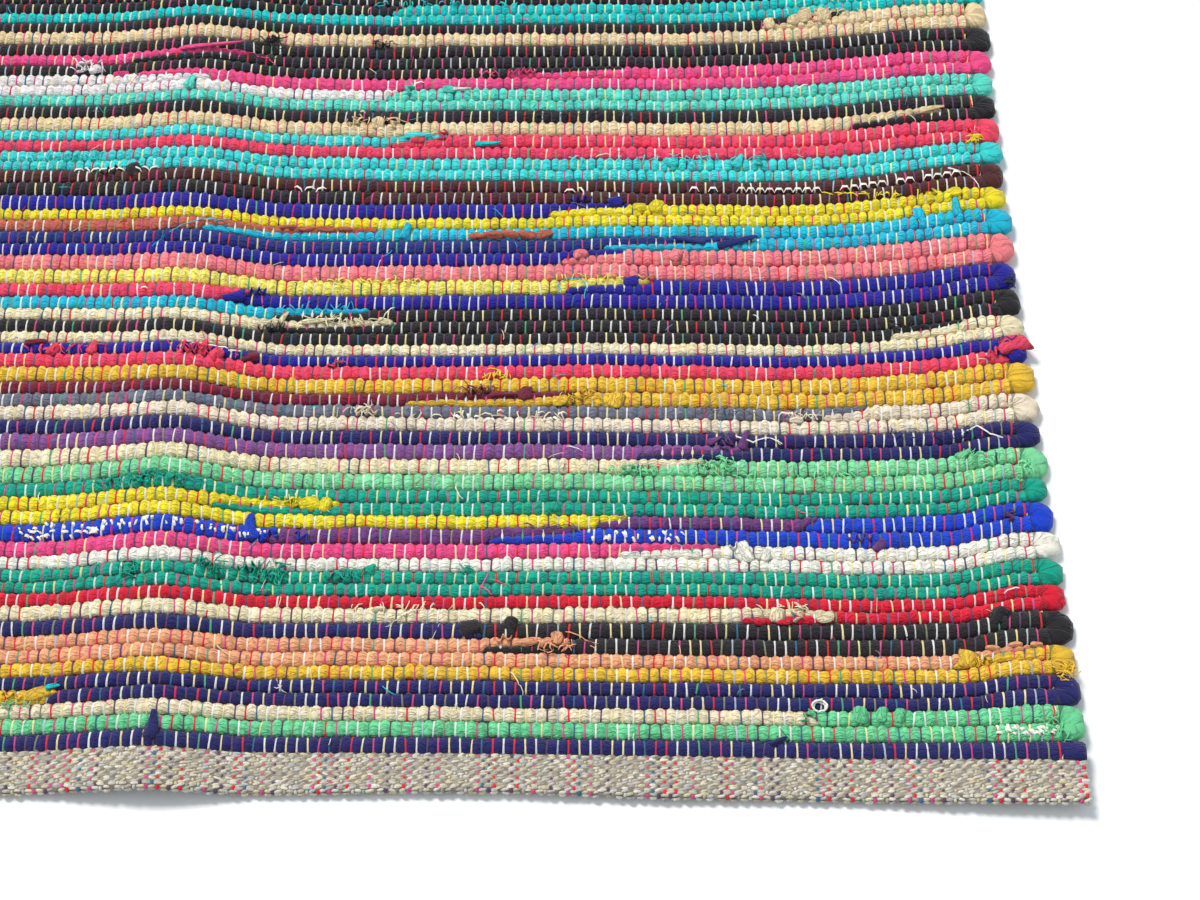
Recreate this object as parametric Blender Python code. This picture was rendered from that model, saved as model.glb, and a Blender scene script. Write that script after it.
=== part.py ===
"""A hand-woven rag rug, about 0.60 m by 0.90 m, lying flat as one cloth.

Strips of knitted cloth are the weft and cotton yarn is the warp. The strips
turn round the outer warp ends in fat loops, which scallop both long sides,
and a thinner plain-woven hem of yarn ends each short side. X runs along the
strips, Y along the warp and Z up; the underside rests at Z = 0. The origin is
below the middle of the rug.
"""

import math

import bpy
import numpy as np
from mathutils import Vector, geometry

# Driving sizes, in metres.
WIDTH = 0.615  # across both selvedges at the hems; the middle draws in
LENGTH = 0.900  # over both hems
BODY_THICK = 0.0080  # strips with the warp over and under them
HEM_THICK = 0.0056
HEM_DEEP = 0.024
HEM_BLEND = 0.009  # the step from the hem up to the first strip
ROWS = 109  # rows of strip between the hems
LOOP_DEEP = 0.0054  # how far a selvedge loop stands out past the notch beside it
LOOP_POINTS = 4
DRAW_IN = 0.0095  # each side pulls in this far by the middle of the rug
WAVER = 0.0012  # how far the long sides wander either way
EDGE_ROUND = 0.0026
ACROSS = 27  # interior points along X
ALONG = 33  # interior points along Y
SEED = 11

# The long soft crease that the rug keeps from being folded: a ridge which runs
# the whole length, a little left of the middle. One row for each station.
CREASE_COLUMNS = ("y", "centre_x", "height", "left_reach", "right_reach")
CREASE = (
    (-0.450, -0.124, 0.0058, 0.066, 0.052),
    (-0.360, -0.127, 0.0088, 0.068, 0.050),
    (-0.275, -0.131, 0.0118, 0.072, 0.052),
    (-0.190, -0.132, 0.0100, 0.070, 0.054),
    (-0.080, -0.135, 0.0072, 0.066, 0.056),
    (0.040, -0.138, 0.0064, 0.064, 0.054),
    (0.180, -0.141, 0.0078, 0.068, 0.056),
    (0.320, -0.146, 0.0056, 0.066, 0.054),
    (0.450, -0.150, 0.0036, 0.062, 0.050),
)

# Places where the cloth stands a little off the floor: the near right corner,
# the middle of the right side and the far left corner.
LIFT_COLUMNS = ("x", "y", "reach_x", "reach_y", "height")
LIFTS = (
    (0.300, -0.452, 0.120, 0.085, 0.0046),
    (0.305, -0.120, 0.045, 0.200, 0.0018),
    (-0.300, 0.452, 0.090, 0.110, 0.0030),
    (0.060, -0.455, 0.160, 0.030, 0.0012),
)


def bell(t):
    """1 in the middle, 0 from one reach away, and smooth between."""
    t = np.clip(np.abs(t), 0.0, 1.0)
    return 0.5 + 0.5 * np.cos(math.pi * t)


def ease(t):
    t = np.clip(t, 0.0, 1.0)
    return t * t * (3.0 - 2.0 * t)


def crease_at(y):
    table = np.array(CREASE)
    return {
        name: np.interp(y, table[:, 0], table[:, column])
        for column, name in enumerate(CREASE_COLUMNS)
    }


def lift(x, y):
    """How far the underside stands off the floor."""
    at = crease_at(y)
    away = x - at["centre_x"]
    reach = np.where(away < 0, at["left_reach"], at["right_reach"])
    height = at["height"] * bell(away / reach)
    for row in LIFTS:
        spot = dict(zip(LIFT_COLUMNS, row))
        height = height + (
            spot["height"]
            * bell((x - spot["x"]) / spot["reach_x"])
            * bell((y - spot["y"]) / spot["reach_y"])
        )
    return height


def thickness(x, y):
    into_body = LENGTH / 2 - HEM_DEEP - np.abs(y)
    step = ease(into_body / HEM_BLEND)
    slack = 0.0003 * np.sin(31.0 * x + 2.0 * np.sin(17.0 * y))
    return HEM_THICK + (BODY_THICK - HEM_THICK + slack) * step


def half_width(y, side):
    """From the middle line to the notches between the loops on one side."""
    drawn = DRAW_IN * ease((LENGTH / 2 - abs(y)) / (LENGTH * 0.38))
    waver = WAVER * math.sin(19.0 * y * side + 0.7 * side)
    return WIDTH / 2 - LOOP_DEEP - WAVER - drawn + waver


def selvedge(side):
    """Points up one long side: a loop to every two rows, no two quite alike."""
    chance = np.random.default_rng(SEED + side)
    first = -LENGTH / 2 + HEM_DEEP
    row_step = (LENGTH - 2 * HEM_DEEP) / ROWS
    start = first + (row_step if side > 0 else 0.0)
    loops = ROWS // 2
    points = []
    for number in range(loops):
        low = start + 2 * number * row_step
        deep = LOOP_DEEP * chance.uniform(0.72, 1.0)
        lean = chance.uniform(-0.12, 0.12)
        for step in range(LOOP_POINTS):
            along = (step + 0.5) / LOOP_POINTS
            out = math.sin(math.pi * along) ** 0.6
            y = low + 2 * row_step * (along + lean * along * (1 - along))
            points.append((side * (half_width(y, side) + deep * out), y))
    return points


def hem_edge(end):
    """Points along one short side, which wavers by a millimetre or two."""
    points = []
    count = 24
    for number in range(count + 1):
        along = number / count
        x = (2 * along - 1) * (WIDTH / 2 - 0.0092)
        waver = 0.0008 * (1 + math.sin(23.0 * x + end)) + 0.0013 * bell((x + 0.18) / 0.20)
        points.append((x, end * (LENGTH / 2 - waver)))
    return points


def corner_points(side, end):
    """The hem's own short side, between its edge and the first loop."""
    wide, long = WIDTH / 2 - 0.0036, LENGTH / 2
    return [
        (side * (wide - 0.0016), end * (long - 0.0028)),
        (side * wide, end * (long - 0.0075)),
        (side * (wide - 0.0008), end * (long - 0.0135)),
        (side * (wide - 0.0030), end * (long - HEM_DEEP + 0.0035)),
    ]


def outline():
    right, left = selvedge(1), selvedge(-1)
    near, far = hem_edge(-1), hem_edge(1)
    ring = list(near)
    ring += corner_points(1, -1)
    ring += right
    ring += reversed(corner_points(1, 1))
    ring += reversed(far)
    ring += corner_points(-1, 1)
    ring += reversed(left)
    ring += reversed(corner_points(-1, -1))
    return np.array(ring)


def inset(ring, distance):
    """The ring moved inwards, along the mean of its neighbouring edges' normals."""
    before, after = np.roll(ring, 1, axis=0), np.roll(ring, -1, axis=0)
    along = after - before
    along /= np.linalg.norm(along, axis=1)[:, None]
    inwards = np.stack([-along[:, 1], along[:, 0]], axis=1)
    return ring + inwards * distance


def interior_points():
    """A grid inside the outline, drawn closer together over the crease."""
    points = []
    clear = LOOP_DEEP + EDGE_ROUND + 0.006
    for row in range(ALONG):
        y = (row / (ALONG - 1) * 2 - 1) * (LENGTH / 2 - 0.0065)
        centre = float(crease_at(y)["centre_x"])
        reach = WIDTH / 2 - DRAW_IN - clear
        for column in range(ACROSS):
            t = column / (ACROSS - 1) * 2 - 1
            x = t * reach
            x += 0.30 * (centre - x) * float(bell((x - centre) / 0.16)) * (1 - t * t)
            points.append((x, y))
    for end in (-1, 1):
        for deep in (HEM_DEEP - 0.0005, HEM_DEEP + HEM_BLEND):
            y = end * (LENGTH / 2 - deep)
            for column in range(ACROSS):
                x = (column / (ACROSS - 1) * 2 - 1) * (WIDTH / 2 - DRAW_IN - clear)
                points.append((x, y))
    return points


def rug_mesh():
    ring = outline()
    rim = inset(ring, EDGE_ROUND)
    count = len(ring)
    flat = [Vector(point) for point in rim] + [Vector(p) for p in interior_points()]
    edges = [(i, (i + 1) % count) for i in range(count)]
    found = geometry.delaunay_2d_cdt(flat, edges, [], 1, 1e-7)
    spots, faces = np.array([tuple(v) for v in found[0]]), found[2]
    came_from = found[3]
    place = {}
    for new, sources in enumerate(came_from):
        for source in sources:
            place[source] = new

    x, y = spots[:, 0], spots[:, 1]
    under = lift(x, y)
    over = under + thickness(x, y)
    total = len(spots)
    ring_x, ring_y = ring[:, 0], ring[:, 1]
    waist = lift(ring_x, ring_y) + 0.5 * thickness(ring_x, ring_y)

    points = np.concatenate(
        [
            np.column_stack([x, y, over]),
            np.column_stack([x, y, under]),
            np.column_stack([ring_x, ring_y, waist]),
        ]
    )
    polygons = []
    for a, b, c in faces:
        polygons.append((a, b, c))
        polygons.append((total + a, total + c, total + b))
    for i in range(count):
        j = (i + 1) % count
        top_a, top_b = place[i], place[j]
        low_a, low_b = total + top_a, total + top_b
        mid_a, mid_b = 2 * total + i, 2 * total + j
        polygons.append((top_a, mid_a, mid_b))
        polygons.append((top_a, mid_b, top_b))
        polygons.append((mid_a, low_a, low_b))
        polygons.append((mid_a, low_b, mid_b))
    return points, polygons


def rug_material():
    material = bpy.data.materials.new("rag_weft_cloth")
    material.use_nodes = True
    shader = material.node_tree.nodes["Principled BSDF"]
    shader.inputs["Base Color"].default_value = (0.42, 0.24, 0.22, 1.0)
    shader.inputs["Roughness"].default_value = 0.95
    return material


for old in list(bpy.data.objects):
    bpy.data.objects.remove(old, do_unlink=True)

points, polygons = rug_mesh()
mesh = bpy.data.meshes.new("rug_cloth")
mesh.from_pydata([tuple(p) for p in points], [], polygons)
mesh.validate()
mesh.update()
rug = bpy.data.objects.new("rug_cloth", mesh)
rug.data.materials.append(rug_material())
bpy.context.scene.collection.objects.link(rug)
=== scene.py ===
import math

import bpy
import numpy as np
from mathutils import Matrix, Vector


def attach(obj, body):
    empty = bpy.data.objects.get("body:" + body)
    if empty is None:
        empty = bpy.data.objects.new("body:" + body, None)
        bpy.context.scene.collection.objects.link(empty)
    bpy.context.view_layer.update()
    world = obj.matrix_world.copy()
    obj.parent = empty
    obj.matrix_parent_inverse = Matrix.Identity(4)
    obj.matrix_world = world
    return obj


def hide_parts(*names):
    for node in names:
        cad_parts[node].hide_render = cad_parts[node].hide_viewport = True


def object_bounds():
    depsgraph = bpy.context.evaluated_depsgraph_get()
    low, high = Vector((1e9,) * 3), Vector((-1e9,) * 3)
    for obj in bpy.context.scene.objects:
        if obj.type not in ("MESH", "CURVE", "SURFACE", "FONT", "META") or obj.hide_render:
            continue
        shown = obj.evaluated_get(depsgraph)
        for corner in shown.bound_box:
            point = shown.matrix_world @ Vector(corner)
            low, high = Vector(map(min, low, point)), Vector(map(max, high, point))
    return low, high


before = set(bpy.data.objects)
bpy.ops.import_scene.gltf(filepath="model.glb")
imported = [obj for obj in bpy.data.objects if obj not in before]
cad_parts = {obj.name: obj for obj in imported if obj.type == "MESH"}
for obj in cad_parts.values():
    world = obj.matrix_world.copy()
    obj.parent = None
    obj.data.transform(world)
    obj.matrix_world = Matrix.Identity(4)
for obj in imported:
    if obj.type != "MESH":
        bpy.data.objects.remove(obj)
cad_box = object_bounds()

# ------------------------------------------------------------------ the lie of the cloth
# The rug lies flat on a floor. It was stored folded, so one soft ridge is left
# along its whole length, and its near right corner stands just off the floor.
# Lengths below are millimetres until a mesh is made.

MM = 0.001
HALF_LONG = (cad_box[1][1] - cad_box[0][1]) / 2 / MM
HALF_WIDE = (cad_box[1][0] - cad_box[0][0]) / 2 / MM

CREASE_COLUMNS = ("y", "centre_x", "height", "left_reach", "right_reach")
CREASE = (
    (-450, -124, 5.8, 66, 52),
    (-360, -127, 8.8, 68, 50),
    (-275, -131, 11.8, 72, 52),
    (-190, -132, 10.0, 70, 54),
    (-80, -135, 7.2, 66, 56),
    (40, -138, 6.4, 64, 54),
    (180, -141, 7.8, 68, 56),
    (320, -146, 5.6, 66, 54),
    (450, -150, 3.6, 62, 50),
)
CREST, CREST_REACH = 0.09, 20.0  # the crease keeps a slightly sharper top
LIFT_COLUMNS = ("x", "y", "reach_x", "reach_y", "height")
LIFTS = (
    (300, -452, 120, 85, 4.6),
    (305, -120, 45, 200, 1.8),
    (-300, 452, 90, 110, 3.0),
    (60, -455, 160, 30, 1.2),
)


def bell(t):
    """1 in the middle, 0 from one reach away."""
    return 0.5 + 0.5 * np.cos(math.pi * np.clip(np.abs(t), 0, 1))


def ease(t):
    t = np.clip(t, 0, 1)
    return t * t * (3 - 2 * t)


def lift(x, y):
    """How far the cloth's underside stands off the floor."""
    table = np.array(CREASE, float)
    at = {
        name: np.interp(y, table[:, 0], table[:, column])
        for column, name in enumerate(CREASE_COLUMNS)
    }
    away = x - at["centre_x"]
    reach = np.where(away < 0, at["left_reach"], at["right_reach"])
    height = at["height"] * (bell(away / reach) + CREST * bell(away / CREST_REACH))
    for row in LIFTS:
        spot = dict(zip(LIFT_COLUMNS, row))
        height = height + (
            spot["height"]
            * bell((x - spot["x"]) / spot["reach_x"])
            * bell((y - spot["y"]) / spot["reach_y"])
        )
    return height


def linear(red, green, blue):
    """A dyed colour, given as it looks, as the linear values that a shader takes."""
    seen = np.array([red, green, blue]) / 255
    return np.where(seen <= 0.04045, seen / 12.92, ((seen + 0.055) / 1.055) ** 2.4)


def new_piece(name, points, faces, material):
    """A mesh object at the origin, with its place in its mesh."""
    mesh = bpy.data.meshes.new(name)
    mesh.from_pydata((np.asarray(points) * MM).tolist(), [], faces)
    mesh.materials.append(material)
    mesh.shade_smooth()
    mesh.update()
    piece = bpy.data.objects.new(name, mesh)
    bpy.context.scene.collection.objects.link(piece)
    return piece


# ------------------------------------------------------------------ setting out the warp
# 235 cotton warp ends, ten to the inch, hit and miss in nine colours. The weft
# pulls the two sides in towards the middle of the rug as it is beaten up.

WARP_ENDS = 235
LOOP_REACH = 13.4  # from the last warp end to the tip of a selvedge loop
DRAW_IN = 9.5


def side_x(y):
    """Half the rug's width at y, to the tips of the selvedge loops."""
    return HALF_WIDE - DRAW_IN * ease((HALF_LONG - np.abs(y)) / (2 * HALF_LONG * 0.38))


def end_x(end, y):
    """Where a warp end runs, counted from the left selvedge."""
    middle = (WARP_ENDS - 1) / 2
    return (end - middle) / middle * (side_x(y) - LOOP_REACH)


# ------------------------------------------------------------------ rag weft: the strips
# Strips torn from knitted cottons and laid in one after another. Where one runs
# out the next is lapped over or under its tail, so colours change mid-row. The
# weft turns round the last warp end in a fat loop at the end of every row.

ROWS = 109
DYES = {
    "navy": (38, 39, 102),
    "spring": (110, 212, 150),
    "beige": (238, 222, 188),
    "mustard": (240, 192, 56),
    "peach": (246, 170, 126),
    "black": (40, 38, 41),
    "cream": (245, 230, 188),
    "red": (222, 28, 54),
    "emerald": (8, 168, 140),
    "offwhite": (248, 244, 228),
    "hotpink": (250, 78, 140),
    "royal": (22, 68, 206),
    "purple": (112, 62, 124),
    "violet": (136, 84, 150),
    "yellow": (247, 226, 38),
    "lemon": (248, 234, 102),
    "leaf": (128, 220, 158),
    "shell": (243, 225, 198),
    "grey": (116, 120, 136),
    "maroon": (126, 34, 58),
    "coral": (250, 70, 102),
    "ultramarine": (36, 33, 154),
    "sky": (24, 192, 222),
    "terracotta": (196, 102, 78),
    "salmon": (250, 134, 138),
    "brown": (82, 40, 40),
    "turquoise": (60, 220, 218),
    "aqua": (92, 224, 202),
    "blush": (249, 241, 239),
    "tan": (241, 213, 165),
    "teal": (6, 206, 202),
    "dusk": (36, 50, 126),
    "denim": (70, 96, 150),
    "rust": (176, 74, 44),
    "olive": (122, 128, 60),
}
# Each strip in the order it was laid in: its dye, the height of the rows it makes,
# how crinkled it is from 0 to 1, and where it meets the next strip: the row, where
# its tail ends, where the next strip's tip starts, and on which side of the row.
# Even rows run from right to left and odd rows back. A strip with no place given
# runs out at the end of its row.
STRIP_COLUMNS = ("dye", "girth", "crinkle", "row", "tail_x", "next_x", "next_side")
STRIPS = (
    ("navy", 8.5, 0.2, 0),
    ("spring", 8.2, 0.3, 2, 178, 184, "low"),
    ("beige", 7.6, 0.3, 2),
    ("mustard", 7.4, 0.8, 3, -171, -176, "low"),
    ("navy", 7.0, 0.3, 4),
    ("mustard", 7.4, 0.9, 6, 248, 286, "high"),
    ("peach", 7.4, 0.2, 7, 68, 27, "low"),
    ("black", 8.5, 0.3, 8, 20, 26, "low"),
    ("navy", 8.0, 0.2, 8),
    ("cream", 8.3, 0.8, 9, 190, 150, "low"),
    ("red", 6.6, 0.3, 10),
    ("emerald", 6.8, 0.6, 12),
    ("offwhite", 7.4, 0.4, 14, 91, 140, "high"),
    ("hotpink", 8.2, 0.2, 14),
    ("royal", 9.2, 0.9, 15, -74, -80, "low"),
    ("purple", 8.6, 0.4, 15, 70, 28, "low"),
    ("royal", 8.6, 0.6, 16, 182, 188, "high"),
    ("purple", 7.2, 0.3, 16, 80, 96, "high"),
    ("yellow", 7.8, 0.4, 17, -45, -107, "low"),
    ("emerald", 7.3, 0.7, 18),
    ("leaf", 9.2, 0.4, 20, 93, 134, "high"),
    ("cream", 9.0, 0.3, 20),
    ("violet", 8.6, 0.5, 21, 156, 100, "low"),
    ("navy", 7.6, 0.2, 22),
    ("shell", 8.4, 0.7, 24, 194, 216, "high"),
    ("grey", 7.0, 0.5, 24),
    ("maroon", 6.8, 0.2, 25, 68, -16, "low"),
    ("mustard", 9.0, 0.9, 26),
    ("coral", 7.8, 0.4, 27, 293, 282, "high"),
    ("ultramarine", 6.4, 0.2, 28),
    ("cream", 7.0, 0.3, 30, 230, 268, "high"),
    ("black", 7.2, 0.3, 30),
    ("cream", 7.4, 0.4, 31, -22, -88, "low"),
    ("black", 7.6, 0.2, 32, -86, -36, "high"),
    ("sky", 7.6, 0.3, 32),
    ("coral", 8.6, 0.5, 33, -98, -112, "low"),
    ("ultramarine", 9.0, 0.2, 34, 64, 108, "high"),
    ("lemon", 9.4, 0.5, 34),
    ("salmon", 10.0, 0.5, 36, 62, 94, "high"),
    ("ultramarine", 8.0, 0.2, 36),
    ("dusk", 8.2, 0.3, 37, 162, 84, "low"),
    ("sky", 7.8, 0.4, 38, -126, -34, "high"),
    ("terracotta", 8.2, 0.2, 38),
    ("yellow", 7.0, 0.4, 40, 55, 97, "high"),
    ("ultramarine", 9.8, 0.2, 40),
    ("black", 9.0, 0.3, 41, -39, -43, "low"),
    ("brown", 8.0, 0.2, 42),
    ("turquoise", 7.4, 0.7, 44),
    ("coral", 8.2, 0.3, 46, -30, 0, "high"),
    ("turquoise", 7.0, 0.5, 46),
    ("tan", 9.4, 0.6, 47, 268, 218, "low"),
    ("black", 8.2, 0.2, 48),
    ("aqua", 7.6, 0.5, 50, -34, -28, "high"),
    ("blush", 7.4, 0.4, 51, -130, -172, "high"),
    ("hotpink", 8.2, 0.3, 52, 33, 95, "high"),
    ("black", 7.2, 0.3, 52),
    ("hotpink", 7.6, 0.3, 53, -112, -175, "low"),
    ("black", 8.0, 0.2, 54),
    ("tan", 9.2, 0.5, 56, 172, 216, "high"),
    ("black", 7.0, 0.3, 56),
    ("teal", 7.4, 0.5, 58, -34, -28, "high"),
)
AT_SELVEDGE = (None, None, "low")
LAST_EDGE = HALF_LONG - 22.0

chance = np.random.default_rng(407)
strips = [dict(zip(STRIP_COLUMNS, row + AT_SELVEDGE)) for row in STRIPS]


def lay_in_the_rest():
    """The far half was woven in the same way, from the same bags of strips."""
    row, x, last = 58, -30.0, "teal"
    names = [name for name in DYES if name not in ("violet", "terracotta")]
    alike = (
        {"teal", "turquoise", "aqua", "sky", "emerald", "spring", "leaf"},
        {"coral", "salmon", "red", "hotpink"},
        {"navy", "ultramarine", "royal", "dusk", "denim", "purple", "black", "brown", "grey"},
        {"beige", "cream", "offwhite", "shell", "blush", "tan", "lemon", "yellow", "mustard"},
    )
    while row < ROWS - 1:
        dye = last
        while any(dye in shades and last in shades for shades in alike) or dye == last:
            dye = names[int(chance.integers(len(names)))]
        last = dye
        girth = float(chance.uniform(6.7, 8.7))
        crinkle = float(chance.choice([0.2, 0.3, 0.5, 0.7]))
        row += int(chance.choice([1, 1, 2, 2, 2, 3]))
        at_side = chance.uniform() < 0.35 and row % 2 == 0
        if row >= ROWS - 1:
            strips.append(dict(zip(STRIP_COLUMNS, (dye, girth, crinkle, ROWS - 1, *AT_SELVEDGE))))
            break
        if at_side:
            place = AT_SELVEDGE
        else:
            x = float(chance.uniform(-230, 230))
            lap = float(chance.uniform(8, 60)) * (1 if row % 2 else -1)
            place = (x + lap / 2, x - lap / 2, str(chance.choice(["low", "high"])))
        strips.append(dict(zip(STRIP_COLUMNS, (dye, girth, crinkle, row, *place))))


lay_in_the_rest()

# Each strip becomes one run to a row: from x to x, in what share of the row.
GRID = np.arange(-330.0, 331.0, 1.0)


def ahead(row):
    """Which way the weft travels in a row: 1 is to the right."""
    return 1 if row % 2 else -1


def tip_share(t):
    """How much of the row a new strip takes, from its tip to the old one's tail end."""
    return 0.32 + 0.30 * np.clip(t, 0, 1)


PAST_SIDE = 1000.0  # where a run goes on to when it reaches the selvedge


def runs_of(strips):
    runs = []
    row, start, side, lap = 0, None, None, None
    for number, strip in enumerate(strips):
        while True:
            way = ahead(row)
            run = {
                "strip": number,
                "row": row,
                "start": start if start is not None else -way * PAST_SIDE,
                "opens": lap,
                "opens_on": side,
            }
            runs.append(run)
            start = side = lap = None
            if row == strip["row"]:
                break
            run.update(stop=way * PAST_SIDE, closes=None, closes_on=None)
            row += 1
        if strip["tail_x"] is None:
            run.update(stop=ahead(row) * PAST_SIDE, closes=None, closes_on=None)
            row += 1
        else:
            lap = (strip["next_x"], strip["tail_x"])
            other = {"low": "high", "high": "low"}[strip["next_side"]]
            run.update(stop=strip["tail_x"], closes=lap, closes_on=other)
            start, side = strip["next_x"], strip["next_side"]
    return runs


runs = runs_of(strips)


def share_at(run, x):
    """The part of the row's height that a run fills at x, as (low, high) from 0 to 1."""
    low, high = np.zeros_like(x), np.ones_like(x)
    for lap, on, new in (
        (run["opens"], run["opens_on"], True),
        (run["closes"], run["closes_on"], False),
    ):
        if lap is None:
            continue
        tip, tail = lap
        t = (x - tip) / (tail - tip)
        mine = tip_share(t) if new else 1 - tip_share(t)
        mine = np.where(t > 1, 1.0 if new else 0.0, np.where(t < 0, 0.0 if new else 1.0, mine))
        if on == "low":
            high = np.minimum(high, mine)
        else:
            low = np.maximum(low, 1 - mine)
    return low, high


# How far along a row's edge is shifted, in millimetres, as row and shift: beside the
# right selvedge, beside the left one, in the right loops and over the right half.
RIGHT_RISE = (
    (0, 0), (2, 0.8), (10, 3.6), (25, 5), (29, 7.5), (36, 9), (42, 12), (52, 9.5),
    (60, 9), (109, 0),
)  # fmt: skip
LEFT_RISE = (
    (0, 0), (15, 0), (20, 1.5), (22, 4), (24, 5), (28, 6.5), (33, 7), (40, 4.5), (43, 4.5),
    (46, 2), (58, 1), (109, 0),
)  # fmt: skip
EDGE_RISE = (
    (0, 0), (2, 1.5), (4, 4.5), (9, 6), (16, 7), (20, 4.5), (24, 4.5), (27, 3), (33, 4),
    (37, 1.5), (42, 0), (47, -1.5), (52, -1.5), (58, 0), (109, 0),
)  # fmt: skip
RIGHT_SWELL = ((0, 0), (42, 0), (52, 5), (60, 5), (109, 0))
# How deep the near hem is, as x and depth.
HEM_DEPTHS = ((-300, 25.0), (-130, 24.0), (6, 23.5), (120, 22.0), (200, 20.5), (303, 18.0))


SMOOTH = 20  # how far either way a step in a row's depth is eased out
LEAST_ROW, MOST_ROW = 5.6, 10.5
UNEVEN, KNOTS = 0.24, 70  # how far a row's edge strays, and at how many places


def row_edges():
    """The near edge of every row and the far edge of the last, over GRID."""
    heights = np.zeros((ROWS, len(GRID)))
    for run in runs:
        low, high = share_at(run, GRID)
        way = ahead(run["row"])
        inside = ((GRID - run["start"]) * way >= 0) & ((run["stop"] - GRID) * way > 0)
        girth = strips[run["strip"]]["girth"]
        heights[run["row"]] += np.where(inside, (high - low) * girth, 0)
    hem_x, hem_depth = np.array(HEM_DEPTHS).T
    first = np.interp(GRID, hem_x, hem_depth) - HALF_LONG
    reach = np.hanning(2 * SMOOTH + 1)
    reach = reach / reach.sum()
    first = np.convolve(np.pad(first, SMOOTH, mode="edge"), reach, mode="valid")
    padded = np.pad(np.clip(heights, LEAST_ROW, MOST_ROW), ((0, 0), (SMOOTH, SMOOTH)), mode="edge")
    heights = np.array([np.convolve(row, reach, mode="valid") for row in padded])
    # The rows fill what the two hems leave, so that the hems stay straight.
    heights *= (LAST_EDGE - first) / heights.sum(axis=0)
    edges = first + np.concatenate([np.zeros((1, len(GRID))), np.cumsum(heights, axis=0)])
    # Beating up leaves the rows further along beside the selvedges.
    for shifts, reached in (
        (RIGHT_RISE, (GRID - 195) / 95),
        (LEFT_RISE, (-128 - GRID) / 80),
        (EDGE_RISE, (GRID - 248) / 40),
        (RIGHT_SWELL, (GRID - 120) / 120),
    ):
        shift = np.interp(np.arange(ROWS + 1), *np.array(shifts).T)
        edges += shift[:, None] * ease(reached)
    # No strip is torn quite evenly.
    for row in range(1, ROWS):
        knots = chance.normal(0, UNEVEN, KNOTS)
        edges[row] += np.interp(GRID, np.linspace(GRID[0], GRID[-1], KNOTS), knots)
    return edges


edges = row_edges()


def edge_at(row, x):
    return np.interp(x, GRID, edges[row])


def middle_of(row):
    """The y of a row's middle, on the middle line of the rug."""
    return float(edge_at(row, 0.0) + edge_at(row + 1, 0.0)) / 2


FLOOR_TO_MIDDLE = 3.75  # from the floor to the middle of the cloth
WAVE = 0.55  # a strip rises over a warp end and dips under the next
RAG_TOP, RAG_PINCHED, RAG_UNDER = 2.9, 2.05, 2.6
USUAL_ROW = 7.9  # the depth of row that the heights above are for
LOOP_ROOT = 1.8  # from the last warp end to where a strip starts to turn
# Points round a strip, as angles from its left edge over the top.
ROUND = np.radians([0, 40, 90, 140, 180, 238, 302])


def stations(row):
    """Where a row's cross-sections are, how puffed each one is, and its cell."""
    middle = middle_of(row)
    over = np.array([end_x(end, middle) for end in range(row % 2, WARP_ENDS, 2)])
    step = np.diff(over)
    x = np.concatenate([over, over[:-1] + step * 0.33, over[:-1] + step * 0.67])
    puff = np.concatenate([np.zeros(len(over)), np.ones(2 * len(step))])
    cell = np.concatenate([np.arange(len(over)), np.tile(np.arange(len(step)), 2)])
    turn = end_x(WARP_ENDS - 1, middle) + LOOP_ROOT
    more_x, more_puff = [-turn, turn], [0.85, 0.85]
    if row % 2:
        more_x += [-turn + LOOP_ROOT, turn - LOOP_ROOT]
        more_puff += [0.9, 0.9]
    if row in (0, ROWS - 1):
        # The very first and last ends of weft stop at the selvedge, tucked by the hem.
        free = 1 if row == 0 else -1
        more_x += [free * (turn + 5.0), free * (turn + 9.0), free * (turn + 10.5)]
        more_puff += [1.0, 0.8, 0.1]
    x = np.concatenate([x, more_x])
    puff = np.concatenate([puff, more_puff])
    cell = np.concatenate([cell, [len(over)] * len(more_x)])
    order = np.argsort(x)
    return x[order], puff[order], cell[order].astype(int)


class Rings:
    """Cross-sections of one strip in order, and what its mesh and dye need."""

    FIELDS = ("left", "right", "middle", "top", "under", "u", "lane", "along", "tint", "fan")

    def __init__(self):
        for field in self.FIELDS:
            setattr(self, field, [])

    def add(self, *values, fan=False):
        for field, value in zip(self.FIELDS, (*values, fan)):
            getattr(self, field).append(value)


def dye_of(strip):
    """The dye, and in the fourth place how tightly the cloth is pulled."""
    return np.array([*linear(*DYES[strip["dye"]]), 1.0])


CELLS = 140  # more than the pillows in any row


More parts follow.
